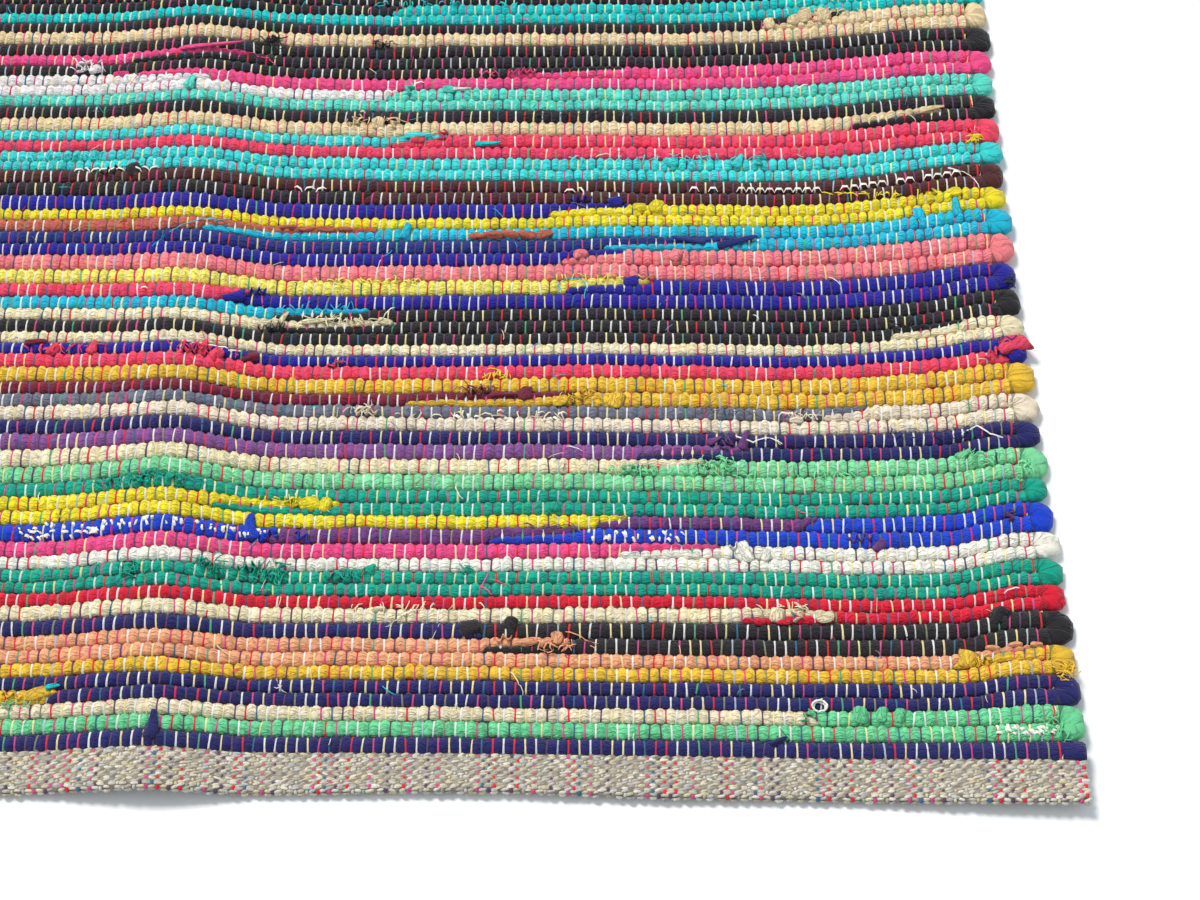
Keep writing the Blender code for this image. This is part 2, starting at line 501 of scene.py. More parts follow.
def lay_run(rings, run, lane, along):
    """Adds the cross-sections of one run, between two selvedges or two laps."""
    row, strip = run["row"], strips[run["strip"]]
    way = ahead(row)
    x, puff, cell = stations(row)
    keep = ((x - run["start"]) * way > 0.8) & ((run["stop"] - x) * way > 0.8)
    x, puff, cell = x[keep], puff[keep], cell[keep]
    # A run that starts or stops in a lap gets a last cross-section there, drawn in.
    ends = ((0, run["start"], way), (-1, run["stop"], -way))
    laps = [end for end in ends if abs(end[1]) < PAST_SIDE]
    for _, lap_x, _ in laps:
        x, puff, cell = np.append(x, lap_x), np.append(puff, 0.5), np.append(cell, 0)
    order = np.argsort(x * way)
    x, puff, cell = x[order], puff[order], cell[order]
    low, high = share_at(run, x + way * 1e-3)
    for at, _, inwards in laps:
        low[at], high[at] = (part[0] for part in share_at(run, x[[at]] + inwards * 0.5))
    share = np.clip(high - low, 0.08, 1)
    rough = 0.5 + 1.1 * strip["crinkle"]
    random = np.random.default_rng(1000 + row)
    plump, broad, shift, shade = (
        (about + swing * random.normal(size=CELLS))[cell]
        for about, swing in ((1, 0.085 * rough), (1, 0.05 * rough), (0, 0.26 * rough), (1, 0.05))
    )
    shaky = random.normal(size=len(x)) * 0.10 * rough

    near, far = edge_at(row, x), edge_at(row + 1, x)
    height = far - near
    y_low, y_high = near + low * height, near + high * height
    centre = (y_low + y_high) / 2 + shift * puff * share
    half = (y_high - y_low) / 2 * (0.92 + 0.12 * puff * broad) * np.where(share < 0.95, 1.16, 1)
    girth = np.sqrt(height / USUAL_ROW) * (0.42 + 0.58 * np.sqrt(share))
    middle = lift(x, centre) + FLOOR_TO_MIDDLE + WAVE * (1.9 * puff - 1) * share + 0.6 * (1 - share)
    top = (RAG_PINCHED + (RAG_TOP - RAG_PINCHED) * puff * plump + shaky * puff) * girth
    under = np.minimum(RAG_UNDER * girth, middle - lift(x, centre) - 0.25)
    shrink = np.ones(len(x))
    for at, _, _ in laps:
        shrink[at] = 0.45
    half, top, under = half * shrink, top * shrink, under * shrink

    tint = dye_of(strip)
    span = 2 * (HALF_WIDE + 6)
    for i in range(len(x)):
        spot = (x[i], centre[i] + half[i]), (x[i], centre[i] - half[i])
        left, right = spot if way > 0 else spot[::-1]
        colour = tint.copy()
        # Painted shade: the dye, which varies at random from pillow to pillow, is darkened at the
        # pinches where the warp bites into the strip.
        colour[:3] *= shade[i] * (0.93 + 0.07 * puff[i])
        rings.add(
            left, right, middle[i], top[i], under[i],
            0.5 + x[i] / span, lane, along + abs(x[i] - x[0]), colour,
        )
    return along + abs(x[-1] - x[0])


def lay_loop(rings, run, lane, next_lane, along):
    """Turns the strip round the last warp end into the next row, as a fan of folds."""
    row, strip = run["row"], strips[run["strip"]]
    side = ahead(row)
    pivot_y = float(edge_at(row + 1, side * 288.0))
    pivot_x = end_x(WARP_ENDS - 1, pivot_y) + LOOP_ROOT
    random = np.random.default_rng(5000 + row)
    reach = (side_x(pivot_y) - pivot_x) * random.uniform(0.98, 1.22)
    lean = random.uniform(-0.12, 0.12)
    first = pivot_y - float(edge_at(row, side * 290.0))
    second = float(edge_at(row + 2, side * 290.0)) - pivot_y if row + 2 <= ROWS else first
    blunt = random.uniform(2.8, 5.0)
    tint = dye_of(strip)
    shade = random.normal(1, 0.03)
    turns = np.radians([-72, -54, -36, -18, 0, 18, 36, 54, 72])
    for k, turn in enumerate(turns):
        tall = 1.03 * (first if turn < 0 else second)
        out = (math.cos(turn) / reach) ** blunt + (abs(math.sin(turn)) / tall) ** blunt
        out = out ** (-1 / blunt) * (1 + random.normal(0, 0.025))
        turned = turn + lean * math.cos(turn)
        tip = (
            side * (pivot_x + out * math.cos(turned)),
            pivot_y + out * math.sin(turned),
        )
        inner = (side * (pivot_x - 0.6), pivot_y + 0.5 * math.sin(turned))
        left, right = (inner, tip) if side > 0 else (tip, inner)
        pleat = random.uniform(0.15, 0.6) * (1 if k % 2 else -1)
        crown = 3.1 + 0.45 * math.cos(turn) + pleat + random.normal(0, 0.15)
        ground = float(lift(np.array(tip[0]), np.array(tip[1])))
        middle = ground + FLOOR_TO_MIDDLE - 0.15
        colour = tint.copy()
        # Painted shade: the loop is darker than its strip, and the rings where the pleats dip are
        # darker still.
        colour[:3] *= shade * (0.86 if k % 2 else 0.76)
        colour[3] = 0.8  # the cloth is slacker here
        rings.add(
            left, right, middle, crown, 2.9,
            0.5 + side * (0.462 + 0.034 * math.cos(turn)),
            lane if k < 5 else next_lane,
            along + 13 * (k + 1) / 10, colour, fan=True,
        )
    return along + 16


def tube_mesh(tubes):
    """Closed tubes, with points, faces, a place on the bake sheet, and the dye with its painted
    shade.
    """
    points, faces, uvs, lies, tints = [], [], [], [], []
    count = len(ROUND)
    cos, sin = np.cos(ROUND), np.sin(ROUND)
    for rings in tubes:
        left, right = np.array(rings.left), np.array(rings.right)
        centre, across = (left + right) / 2, (left - right) / 2
        ring = np.zeros((len(left), count, 3))
        ring[:, :, :2] = centre[:, None] + across[:, None] * cos[None, :, None]
        top, under = np.array(rings.top)[:, None], np.array(rings.under)[:, None]
        height = np.where(sin[None, :] > 0, top, under)
        ring[:, :, 2] = np.array(rings.middle)[:, None] + height * sin[None, :]
        start = sum(len(p) for p in points)
        points.append(ring.reshape(-1, 3))
        around = np.cumsum(
            np.concatenate([[0], np.linalg.norm(np.diff(ring, axis=1), axis=2).mean(axis=0)])
        )
        lie = np.stack(
            [
                np.repeat(rings.along, count),
                np.tile(around, len(left)),
                np.full(len(left) * count, float(start % 997)),
            ],
            axis=1,
        )
        # In a selvedge loop the folds run outwards from the last warp end.
        fan = np.repeat(rings.fan, count)
        lie[fan] = lie[fan][:, [1, 0, 2]] * (0.8, 0.8, 1.0)
        lies.append(lie)
        tints.append(np.repeat(np.array(rings.tint), count, axis=0))
        for i in range(len(left) - 1):
            lane = rings.lane[i]
            u0, u1 = rings.u[i], rings.u[i + 1]
            for k in range(count):
                k1 = (k + 1) % count
                a, b = start + i * count + k, start + i * count + k1
                faces.append((a, b, b + count, a + count))
                v0, v1 = lane + 0.06 + 0.88 * k / count, lane + 0.06 + 0.88 * (k + 1) / count
                uvs += [(u0, v0), (u0, v1), (u1, v1), (u1, v0)]
        for ring_at, turn in ((0, -1), (len(left) - 1, 1)):
            corner = list(range(count))[::turn]
            faces.append(tuple(start + ring_at * count + k for k in corner))
            lane, u = rings.lane[ring_at], rings.u[ring_at]
            uvs += [(u, lane + 0.06 + 0.88 * k / count) for k in corner]
    points, lies, tints = (np.concatenate(parts) for parts in (points, lies, tints))
    return points, faces, np.array(uvs), lies, tints


def give(mesh, name, kind, domain, values):
    """Stores an attribute on a mesh."""
    made = mesh.attributes.new(name, kind, domain)
    field = "color" if kind == "FLOAT_COLOR" else "vector"
    made.data.foreach_set(field, np.asarray(values, np.float32).ravel())


def bake_sheet(mesh, uvs):
    """Where each face lies when the colours are baked."""
    layer = mesh.uv_layers.new(name="OFBake")
    layer.data.foreach_set("uv", np.asarray(uvs, np.float32).ravel())


def of_the_rug(*pieces):
    """Pieces that go where the rug goes and are made of its cloth."""
    for piece in pieces:
        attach(piece, "root")


def matt_material(name, roughness, specular):
    material = bpy.data.materials.new(name)
    material.use_nodes = True
    shader = material.node_tree.nodes["Principled BSDF"]
    shader.inputs["Roughness"].default_value = roughness
    shader.inputs["Specular IOR Level"].default_value = specular
    return material, material.node_tree, shader


def attribute(tree, name):
    made = tree.nodes.new("ShaderNodeAttribute")
    made.attribute_name = name
    return made.outputs


def noise(tree, source, scale, detail, rough=0.5, distort=0.0):
    mapping = tree.nodes.new("ShaderNodeMapping")
    mapping.inputs["Scale"].default_value = scale
    tree.links.new(source, mapping.inputs["Vector"])
    made = tree.nodes.new("ShaderNodeTexNoise")
    made.inputs["Scale"].default_value = 1.0
    made.inputs["Detail"].default_value = detail
    made.inputs["Roughness"].default_value = rough
    made.inputs["Distortion"].default_value = distort
    tree.links.new(mapping.outputs["Vector"], made.inputs["Vector"])
    return made.outputs["Fac"]


def spread(tree, value, low, high, to_low, to_high, kind="SMOOTHSTEP"):
    made = tree.nodes.new("ShaderNodeMapRange")
    made.interpolation_type = kind
    for name, number in (
        ("From Min", low), ("From Max", high), ("To Min", to_low), ("To Max", to_high),
    ):  # fmt: skip
        made.inputs[name].default_value = number
    tree.links.new(value, made.inputs["Value"])
    return made.outputs["Result"]


def feed(tree, socket, value):
    """Gives a socket a number, or what comes out of another node."""
    if isinstance(value, (int, float)):
        socket.default_value = value
    else:
        tree.links.new(value, socket)


def sums(tree):
    """A function that adds one sum to a tree and gives its result."""

    def math_node(kind, a, b=0.0):
        made = tree.nodes.new("ShaderNodeMath")
        made.operation = kind
        for socket, value in zip(made.inputs, (a, b)):
            feed(tree, socket, value)
        return made.outputs[0]

    return math_node


def dyed(tree, shader, dye, shade):
    """Colours a shader with a dye made lighter and darker."""
    mixed = tree.nodes.new("ShaderNodeMix")
    mixed.data_type = "RGBA"
    mixed.blend_type = "MULTIPLY"
    mixed.inputs["Factor"].default_value = 1.0
    tree.links.new(dye, mixed.inputs["A"])
    tree.links.new(shade, mixed.inputs["B"])
    tree.links.new(mixed.outputs["Result"], shader.inputs["Base Color"])


def bumped(tree, shader, height, strength, distance):
    bump = tree.nodes.new("ShaderNodeBump")
    bump.inputs["Strength"].default_value = strength
    bump.inputs["Distance"].default_value = distance
    tree.links.new(height, bump.inputs["Height"])
    tree.links.new(bump.outputs["Normal"], shader.inputs["Normal"])


def knit_group():
    """Jersey pulled tight: long folds, cross wrinkles and a fine fuzzy surface, with a painted
    shade that darkens the dye in the creases and lightens it on the swells.
    """
    group = bpy.data.node_groups.new("pulled_jersey", "ShaderNodeTree")
    face = group.interface
    face.new_socket("Lie", in_out="INPUT", socket_type="NodeSocketVector")
    face.new_socket("Tightness", in_out="INPUT", socket_type="NodeSocketFloat")
    face.new_socket("Height", in_out="OUTPUT", socket_type="NodeSocketFloat")
    face.new_socket("Shade", in_out="OUTPUT", socket_type="NodeSocketFloat")
    inside, outside = group.nodes.new("NodeGroupInput"), group.nodes.new("NodeGroupOutput")
    lie, math_node = inside.outputs["Lie"], sums(group)

    # A crease runs wherever a drawn-out noise passes its middle value.
    def creases(scale, detail, distort, width):
        away = math_node("SUBTRACT", noise(group, lie, scale, detail, 0.5, distort), 0.5)
        deep = spread(group, math_node("ABSOLUTE", away), 0.0, width, 1.0, 0.0)
        return math_node("SUBTRACT", 1.0, math_node("MULTIPLY", deep, inside.outputs["Tightness"]))

    long_folds = creases((0.13, 0.42, 1.0), 1.0, 0.5, 0.075)
    wrinkles = creases((0.34, 0.50, 1.0), 2.0, 1.0, 0.09)
    swell = noise(group, lie, (0.22, 0.30, 1.0), 1.0)
    fuzz = noise(group, lie, (1.7, 2.1, 1.0), 2.0, 0.7)
    height = math_node("MULTIPLY", long_folds, 0.36)
    for texture, weight in ((wrinkles, 0.14), (swell, 0.30), (fuzz, 0.13)):
        height = math_node("ADD", height, math_node("MULTIPLY", texture, weight))
    group.links.new(height, outside.inputs["Height"])
    # Shade is painted shade: the dye is darkened where the height is low, in the creases, and
    # lightened where it is high.
    group.links.new(spread(group, height, 0.22, 0.72, 0.74, 1.07), outside.inputs["Shade"])
    return group


jersey = knit_group()


def rag_cloth():
    material, tree, shader = matt_material("rag_jersey", 0.92, 0.18)
    shader.inputs["Sheen Weight"].default_value = 0.18
    shader.inputs["Sheen Roughness"].default_value = 0.5
    dye = attribute(tree, "dye")
    knit = tree.nodes.new("ShaderNodeGroup")
    knit.node_tree = jersey
    tree.links.new(attribute(tree, "lie")["Vector"], knit.inputs["Lie"])
    tree.links.new(dye["Alpha"], knit.inputs["Tightness"])
    # The dye is multiplied by the jersey's painted shade.
    dyed(tree, shader, dye["Color"], knit.outputs["Shade"])
    bumped(tree, shader, knit.outputs["Height"], 1.0, 0.0012)
    return material


rag_material = rag_cloth()
BANDS = (
    ("rag_weft_near", 0, 28),
    ("rag_weft_middle", 28, 56),
    ("rag_weft_upper", 56, 83),
    ("rag_weft_far", 83, ROWS),
)
weft_pieces = []
for band_name, first_row, past_row in BANDS:
    inside = [run for run in runs if first_row <= run["row"] < past_row]
    tubes, rings, along = [], None, 0.0
    for lane, run in enumerate(inside):
        fresh = rings is None or inside[lane - 1]["strip"] != run["strip"]
        if fresh:
            rings, along = Rings(), 0.0
            tubes.append(rings)
        along = lay_run(rings, run, lane, along)
        if abs(run["stop"]) == PAST_SIDE and run["row"] < ROWS - 1:
            along = lay_loop(rings, run, lane, min(lane + 1, len(inside)), along)
    points, faces, uvs, lies, tints = tube_mesh(tubes)
    uvs[:, 1] /= len(inside) + 1
    piece = new_piece(band_name, points, faces, rag_material)
    give(piece.data, "lie", "FLOAT_VECTOR", "POINT", lies)
    # The dye attribute holds the strips' dyes with painted shade at the pinches and in the selvedge
    # loops.
    give(piece.data, "dye", "FLOAT_COLOR", "POINT", tints)
    bake_sheet(piece.data, uvs)
    weft_pieces.append(piece)

for piece, (band_name, first_row, past_row) in zip(weft_pieces, BANDS):
    deep = float(edge_at(past_row, 0.0) - edge_at(first_row, 0.0))
    of_the_rug(piece)
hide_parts("rug_cloth")

# ------------------------------------------------------------------ warp: the yarn over and under
# Twisted cotton yarn, held tight. Every other end passes over a row and the ones
# between pass under it, and the next row is the other way about. It bites into
# the strips and leaves them in rows of small pillows.

YARNS = {
    "W": (232, 229, 224),
    "Y": (238, 220, 164),
    "R": (216, 42, 62),
    "P": (208, 78, 132),
    "V": (98, 66, 98),
    "B": (62, 104, 136),
    "G": (176, 186, 200),
    "E": (88, 164, 122),
    "O": (138, 138, 116),
}
# The threading, counted from the right selvedge: the ends over the even rows,
# and the ends over the odd rows. Past the end it starts again.
OVER_EVEN = (
    "ROVPEWWVPWWOWWYRGVWYWVVPYW"
    "YVWBYPVEWWRRBWYYVWYRGVWYRWRBYWYPVW"
    "RWYPYRVBPYWYWWBRVYWEYWBVYWYVWWPPY"
)
OVER_ODD = (
    "PGYWYRVRBYWYVPBPOYPERWRBWW"
    "OVPGORYYPWVVPWWOWPBPOYPEVWVPWWOWG"
    "POVWEWWPRWWOVPYPWVPYRVRPWWOWPBRWV"
)


def yarn_of(end):
    from_right = (WARP_ENDS - 1 - end) // 2
    order = OVER_EVEN if end % 2 == 0 else OVER_ODD
    return linear(*YARNS[order[from_right % len(order)]])


def yarn_material():
    material, tree, shader = matt_material("cotton_yarn", 0.7, 0.3)
    shader.inputs["Sheen Weight"].default_value = 0.15
    place = tree.nodes.new("ShaderNodeTexCoord")
    ply = noise(tree, place.outputs["Object"], (900, 520, 900), 2.0)
    level = spread(tree, ply, 0.3, 0.7, 0.8, 1.08, "LINEAR")
    dyed(tree, shader, attribute(tree, "dye")["Color"], level)
    bumped(tree, shader, ply, 0.6, 0.0006)
    return material


cotton_yarn = yarn_material()


def fill_tree(tree, across, along, shape):
    """Shapes a square sheet, from -1 to 1 both ways, and copies it to every point given."""
    nodes, links = tree.nodes, tree.links
    inside, outside = nodes.new("NodeGroupInput"), nodes.new("NodeGroupOutput")
    grid = nodes.new("GeometryNodeMeshGrid")
    grid.inputs["Size X"].default_value = grid.inputs["Size Y"].default_value = 2.0
    feed(tree, grid.inputs["Vertices X"], across)
    feed(tree, grid.inputs["Vertices Y"], along if along else inside.outputs["Steps Along"])
    place, split = nodes.new("GeometryNodeInputPosition"), nodes.new("ShaderNodeSeparateXYZ")
    links.new(place.outputs["Position"], split.inputs["Vector"])
    joined = nodes.new("ShaderNodeCombineXYZ")
    spot = shape(sums(tree), inside.outputs, split.outputs["X"], split.outputs["Y"])
    for value, axis in zip(spot, "XYZ"):
        feed(tree, joined.inputs[axis], value)
    moved = nodes.new("GeometryNodeSetPosition")
    links.new(grid.outputs["Mesh"], moved.inputs["Geometry"])
    links.new(joined.outputs["Vector"], moved.inputs["Position"])
    copies = nodes.new("GeometryNodeInstanceOnPoints")
    links.new(inside.outputs["Geometry"], copies.inputs["Points"])
    links.new(moved.outputs["Geometry"], copies.inputs["Instance"])
    for name, socket in (("turn", "Rotation"), ("size", "Scale")):
        stored = nodes.new("GeometryNodeInputNamedAttribute")
        stored.data_type = "FLOAT_VECTOR"
        stored.inputs["Name"].default_value = name
        links.new(stored.outputs["Attribute"], copies.inputs[socket])
    real = nodes.new("GeometryNodeRealizeInstances")
    links.new(copies.outputs["Instances"], real.inputs["Geometry"])
    smooth = nodes.new("GeometryNodeSetShadeSmooth")
    links.new(real.outputs["Geometry"], smooth.inputs["Geometry"])
    coloured = nodes.new("GeometryNodeSetMaterial")
    links.new(smooth.outputs["Geometry"], coloured.inputs["Geometry"])
    links.new(inside.outputs["Yarn"], coloured.inputs["Material"])
    links.new(coloured.outputs["Geometry"], outside.inputs["Geometry"])


def arch_tree():
    """A short length of yarn arched over a strip, on every point it is given."""
    tree = bpy.data.node_groups.new("yarn_over_strip", "GeometryNodeTree")
    face = tree.interface
    face.new_socket("Geometry", in_out="INPUT", socket_type="NodeSocketGeometry")
    for name, kind, value in (
        ("Steps Along", "NodeSocketInt", 5),
        ("Crown", "NodeSocketFloat", 0.55),
        ("Foot", "NodeSocketFloat", 0.10),
        ("Yarn", "NodeSocketMaterial", None),
    ):
        socket = face.new_socket(name, in_out="INPUT", socket_type=kind)
        if value is not None:
            socket.default_value = value
    face.new_socket("Geometry", in_out="OUTPUT", socket_type="NodeSocketGeometry")

    def arched(math_node, given, x, y):
        ridge = math_node("SUBTRACT", 1.0, math_node("ABSOLUTE", x))
        angle = math_node("MULTIPLY", y, math.pi / 2)
        foot = math_node("ADD", math_node("MULTIPLY", ridge, given["Foot"]), 1.0)
        crown = math_node("ADD", math_node("MULTIPLY", ridge, given["Crown"]), 1.0)
        return (
            x,
            math_node("MULTIPLY", math_node("SINE", angle), foot),
            math_node("MULTIPLY", math_node("COSINE", angle), crown),
        )

    fill_tree(tree, 3, None, arched)
    return tree


def realised(name, tree, settings, points, turns, sizes, dyes, across, along):
    """Runs a tree on a cloud of points and keeps the plain mesh that it makes."""
    cloud = bpy.data.meshes.new(name + "_points")
    cloud.from_pydata((np.asarray(points) * MM).tolist(), [], [])
    give(cloud, "turn", "FLOAT_VECTOR", "POINT", turns)
    give(cloud, "size", "FLOAT_VECTOR", "POINT", np.asarray(sizes) * MM)
    give(cloud, "dye", "FLOAT_COLOR", "POINT", np.column_stack([dyes, np.ones(len(dyes))]))
    holder = bpy.data.objects.new(name + "_points", cloud)
    bpy.context.scene.collection.objects.link(holder)
    modifier = holder.modifiers.new("weave", "NODES")
    modifier.node_group = tree
    for item in tree.interface.items_tree:
        if item.in_out == "INPUT" and item.name in settings:
            modifier[item.identifier] = settings[item.name]
    graph = bpy.context.evaluated_depsgraph_get()
    mesh = bpy.data.meshes.new_from_object(holder.evaluated_get(graph))
    mesh.name = name
    bpy.data.objects.remove(holder, do_unlink=True)
    bpy.data.meshes.remove(cloud)
    # Every copy gets a small square of its own on the bake sheet.
    each = across * along
    corners = np.zeros(len(mesh.loops), np.int32)
    mesh.loops.foreach_get("vertex_index", corners)
    copy, corner = corners // each, corners % each
    squares = int(math.ceil(math.sqrt(len(points))))
    u = (copy % squares + 0.1 + 0.8 * (corner // along) / (across - 1)) / squares
    v = (copy // squares + 0.1 + 0.8 * (corner % along) / (along - 1)) / squares
    bake_sheet(mesh, np.column_stack([u, v]))
    piece = bpy.data.objects.new(name, mesh)
    bpy.context.scene.collection.objects.link(piece)
    return piece


YARN_HALF = 0.66
warp_chance = np.random.default_rng(77)


def arches(rows, over):
    """The yarn over (or under) a set of rows: places, turns, sizes and dyes."""
    places, turns, sizes, dyes = [], [], [], []
    for row in rows:
        middle = middle_of(row)
        parity = row % 2 if over else 1 - row % 2
        numbers = np.arange(parity, WARP_ENDS, 2)
        x = end_x(numbers, middle)
        near, far = edge_at(row, x), edge_at(row + 1, x)
        y, half = (near + far) / 2, (far - near) / 2
        dye = np.array([yarn_of(int(n)) for n in numbers])
        if over:
            # The last end is doubled, with a second colour beside it.
            x = np.append(x, x[-1] + (1.3 if row % 2 == 0 else 2.1))
            y, half = np.append(y, y[-1]), np.append(half, half[-1])
            extra = linear(*YARNS["Y" if row % 2 == 0 else "B"])
            dye = np.vstack([dye, extra])
        girth = np.sqrt(half * 2 / USUAL_ROW)
        slope = (lift(x + 1, y) - lift(x - 1, y)) / 2
        count = len(x)
        crown = (RAG_PINCHED - WAVE) * girth if over else (RAG_UNDER - WAVE - 0.2) * girth
        x = x + warp_chance.normal(0, 0.16, count)
        places.append(np.column_stack([x, y, lift(x, y) + FLOOR_TO_MIDDLE]))
        spin = warp_chance.normal(0, 0.075, count)
        tip = np.zeros(count) if over else np.full(count, math.pi)
        turns.append(np.column_stack([tip, -np.arctan(slope) * (1 if over else -1), spin]))
        thick = YARN_HALF * warp_chance.uniform(0.85, 1.15, count)
        sizes.append(np.column_stack([thick, half * 0.97, crown]))
        dyes.append(dye * warp_chance.uniform(0.9, 1.08, (count, 1)))
    return (np.concatenate(part) for part in (places, turns, sizes, dyes))


arch = arch_tree()
OVER = {"Steps Along": 5, "Crown": 0.62, "Foot": 0.10, "Yarn": cotton_yarn}
UNDER = {"Steps Along": 3, "Crown": 0.35, "Foot": 0.05, "Yarn": cotton_yarn}
for name, rows, over in (
    ("warp_over_near", range(0, 55), True),
    ("warp_over_far", range(55, ROWS), True),
    ("warp_under", range(0, ROWS), False),
):
    settings = OVER if over else UNDER
    of_the_rug(realised(name, arch, settings, *arches(rows, over), 3, settings["Steps Along"]))

# ------------------------------------------------------------------ hems
# A band of close plain weave at each end, in an oatmeal yarn on the same warp,
# turned under and fastened. The coloured ends show between its picks as dots.

PICKS = 9  # each of two strands
HEM_TOP = 4.6
OATMEAL = (
    (232, 222, 202),
    (214, 203, 182),
    (244, 237, 220),
    (196, 187, 172),
    (232, 219, 184),
    (208, 207, 202),
)
hem_chance = np.random.default_rng(31)


def bump_tree():
    """One visible float of yarn, as a small open-backed pillow, on every point."""
    tree = bpy.data.node_groups.new("yarn_float", "GeometryNodeTree")
    face = tree.interface
    face.new_socket("Geometry", in_out="INPUT", socket_type="NodeSocketGeometry")
    face.new_socket("Yarn", in_out="INPUT", socket_type="NodeSocketMaterial")
    flat = face.new_socket("Flatness", in_out="INPUT", socket_type="NodeSocketFloat")
    flat.default_value = 2.4
    face.new_socket("Geometry", in_out="OUTPUT", socket_type="NodeSocketGeometry")

    def pillow(math_node, given, x, y):
        flat_x, flat_y = (math_node("ABSOLUTE", value) for value in (x, y))
        high_x, high_y = (
            math_node("SUBTRACT", 1.0, math_node("POWER", value, given["Flatness"]))
            for value in (flat_x, flat_y)
        )
        # The corners are drawn in, so that the float is oval in plan.
        drawn = math_node("MULTIPLY", 0.24, math_node("MULTIPLY", flat_x, flat_y))
        pull = math_node("SUBTRACT", 1.0, drawn)
        return (
            math_node("MULTIPLY", x, pull),
            math_node("MULTIPLY", y, pull),
            math_node("MULTIPLY", high_x, high_y),
        )

    fill_tree(tree, 4, 3, pillow)
    return tree


# How far the near hem's folded edge stands back from straight, from left to right.
NEAR_WAVER = (
    (-300, 4.5), (-184, 4.2), (-90, 3.7), (-10, 4.7), (36, 4.8), (70, 3.2), (110, 1.7),
    (174, 0.8), (230, -0.8), (284, -2.2), (303, -2.4),
)  # fmt: skip


def hem_outer(x, end):
    """The folded edge of a hem, which wavers by a few millimetres."""
    if end < 0:
        return np.interp(x, *np.array(NEAR_WAVER).T) - HALF_LONG
    waver = 0.8 * (1 + np.sin(0.023 * x + end)) + 1.3 * bell((x + 180) / 200)
    return end * (HALF_LONG - waver)


def hem_side(end):
    """Half the width of a hem, which is a little narrower than the loops."""
    return side_x(end * HALF_LONG) - 3.2


def hem_inner(x, end):
    return edge_at(0 if end < 0 else ROWS, x)


# Across a hem, from where it meets the first row, over the top and round the fold
# to the underside: how far along the way, and how high.
HEM_SECTION = (
    (0.0, 4.4),
    (0.5, 4.6),
    (0.84, 4.5),
    (0.95, 3.9),
    (1.0, 2.6),
    (0.97, 1.0),
    (0.86, 0.12),
    (0.4, 0.0),
    (0.0, 0.3),
)


def hem_body(name, end, material):
    """The hem's folded cloth, a closed flat tube with its own short ends."""
    half = hem_side(end) + 0.8
    x = np.linspace(-half, half, 121)
    inner, outer = hem_inner(x, end) - end * 1.5, hem_outer(x, end)
    points, faces, uvs = [], [], []
    count = len(HEM_SECTION)
    for i in range(len(x)):
        squeeze = 1 - 0.5 * max(0.0, (abs(x[i]) - half + 2.2) / 2.2)
        for along, high in HEM_SECTION:
            y = inner[i] + (outer[i] - inner[i]) * along
            ground = float(lift(x[i], y))
            points.append((x[i], y, ground + 2.4 + (high - 2.4) * squeeze))
    for i in range(len(x) - 1):
        for k in range(count):
            k1 = (k + 1) % count
            a, b = i * count + k, i * count + k1
            face = (a, a + count, b + count, b)
            corner = [(i, k), (i + 1, k), (i + 1, k + 1), (i, k + 1)]
            if end > 0:
                face, corner = face[::-1], corner[::-1]
            faces.append(face)
            uvs += [(p / (len(x) - 1), q / count) for p, q in corner]
    for i, turned in ((0, end < 0), (len(x) - 1, end > 0)):
        face = [i * count + k for k in range(count)]
        face = face if turned else face[::-1]
        faces.append(tuple(face))
        uvs += [(i / (len(x) - 1), (n % count) / count) for n in face]
    piece = new_piece(name, points, faces, material)
    bake_sheet(piece.data, uvs)
    return piece


def hem_floats(end):
    """Where each float of weft and warp yarn shows on a hem."""
    places, turns, sizes, dyes = [], [], [], []
    numbers = np.arange(WARP_ENDS)
    x = end_x(numbers, end * HALF_LONG) * hem_side(end) / end_x(WARP_ENDS - 1, end * HALF_LONG)
    inner, outer = hem_inner(x, end), hem_outer(x, end)
    for pick in range(PICKS):
        for n in range(WARP_ENDS):
            over = (pick + n) % 2 == 0
            if not over and yarn_of(n).min() > 0.12 and hem_chance.uniform() < 0.5:
                continue
            for strand in (-1, 1) if over else (0,):
                along = (pick + 0.5 + 0.25 * strand) / (PICKS - 0.35)
                y = inner[n] + (outer[n] - inner[n]) * min(along, 1.0)
                tilt, high = 0.0, HEM_TOP - 0.35
                if along > 0.93:
                    tilt, high = -0.75 * end, HEM_TOP - 1.0
                if along > 0.99:
                    tilt, high = -1.35 * end, 2.3
                ground = float(lift(x[n], y))
                jig = hem_chance.normal(0, 0.16, 2)
                places.append((x[n] + jig[0], y + jig[1], ground + high))
                shade = linear(*OATMEAL[int(hem_chance.integers(len(OATMEAL)))])
                if over:
                    turns.append((tilt, 0.0, hem_chance.normal(0.08, 0.20)))
                    big = hem_chance.uniform(0.85, 1.15)
                    sizes.append((2.0 * big, 0.78 * hem_chance.uniform(0.9, 1.15), 1.4 * big))
                    dyes.append(shade * hem_chance.uniform(0.80, 1.0))
                else:
                    strong = yarn_of(n).min() < 0.12 and yarn_of(n).argmax() != 1
                    big = 1.02 if strong else 0.8
                    turns.append((tilt, 0.0, hem_chance.normal(0, 0.15)))
                    sizes.append((0.95 * big, 1.3 * big, 0.85 * hem_chance.uniform(0.8, 1.2)))
                    dyes.append(yarn_of(n) if strong else 0.45 * yarn_of(n) + 0.4 * shade)
    return (np.array(part) for part in (places, turns, sizes, dyes))


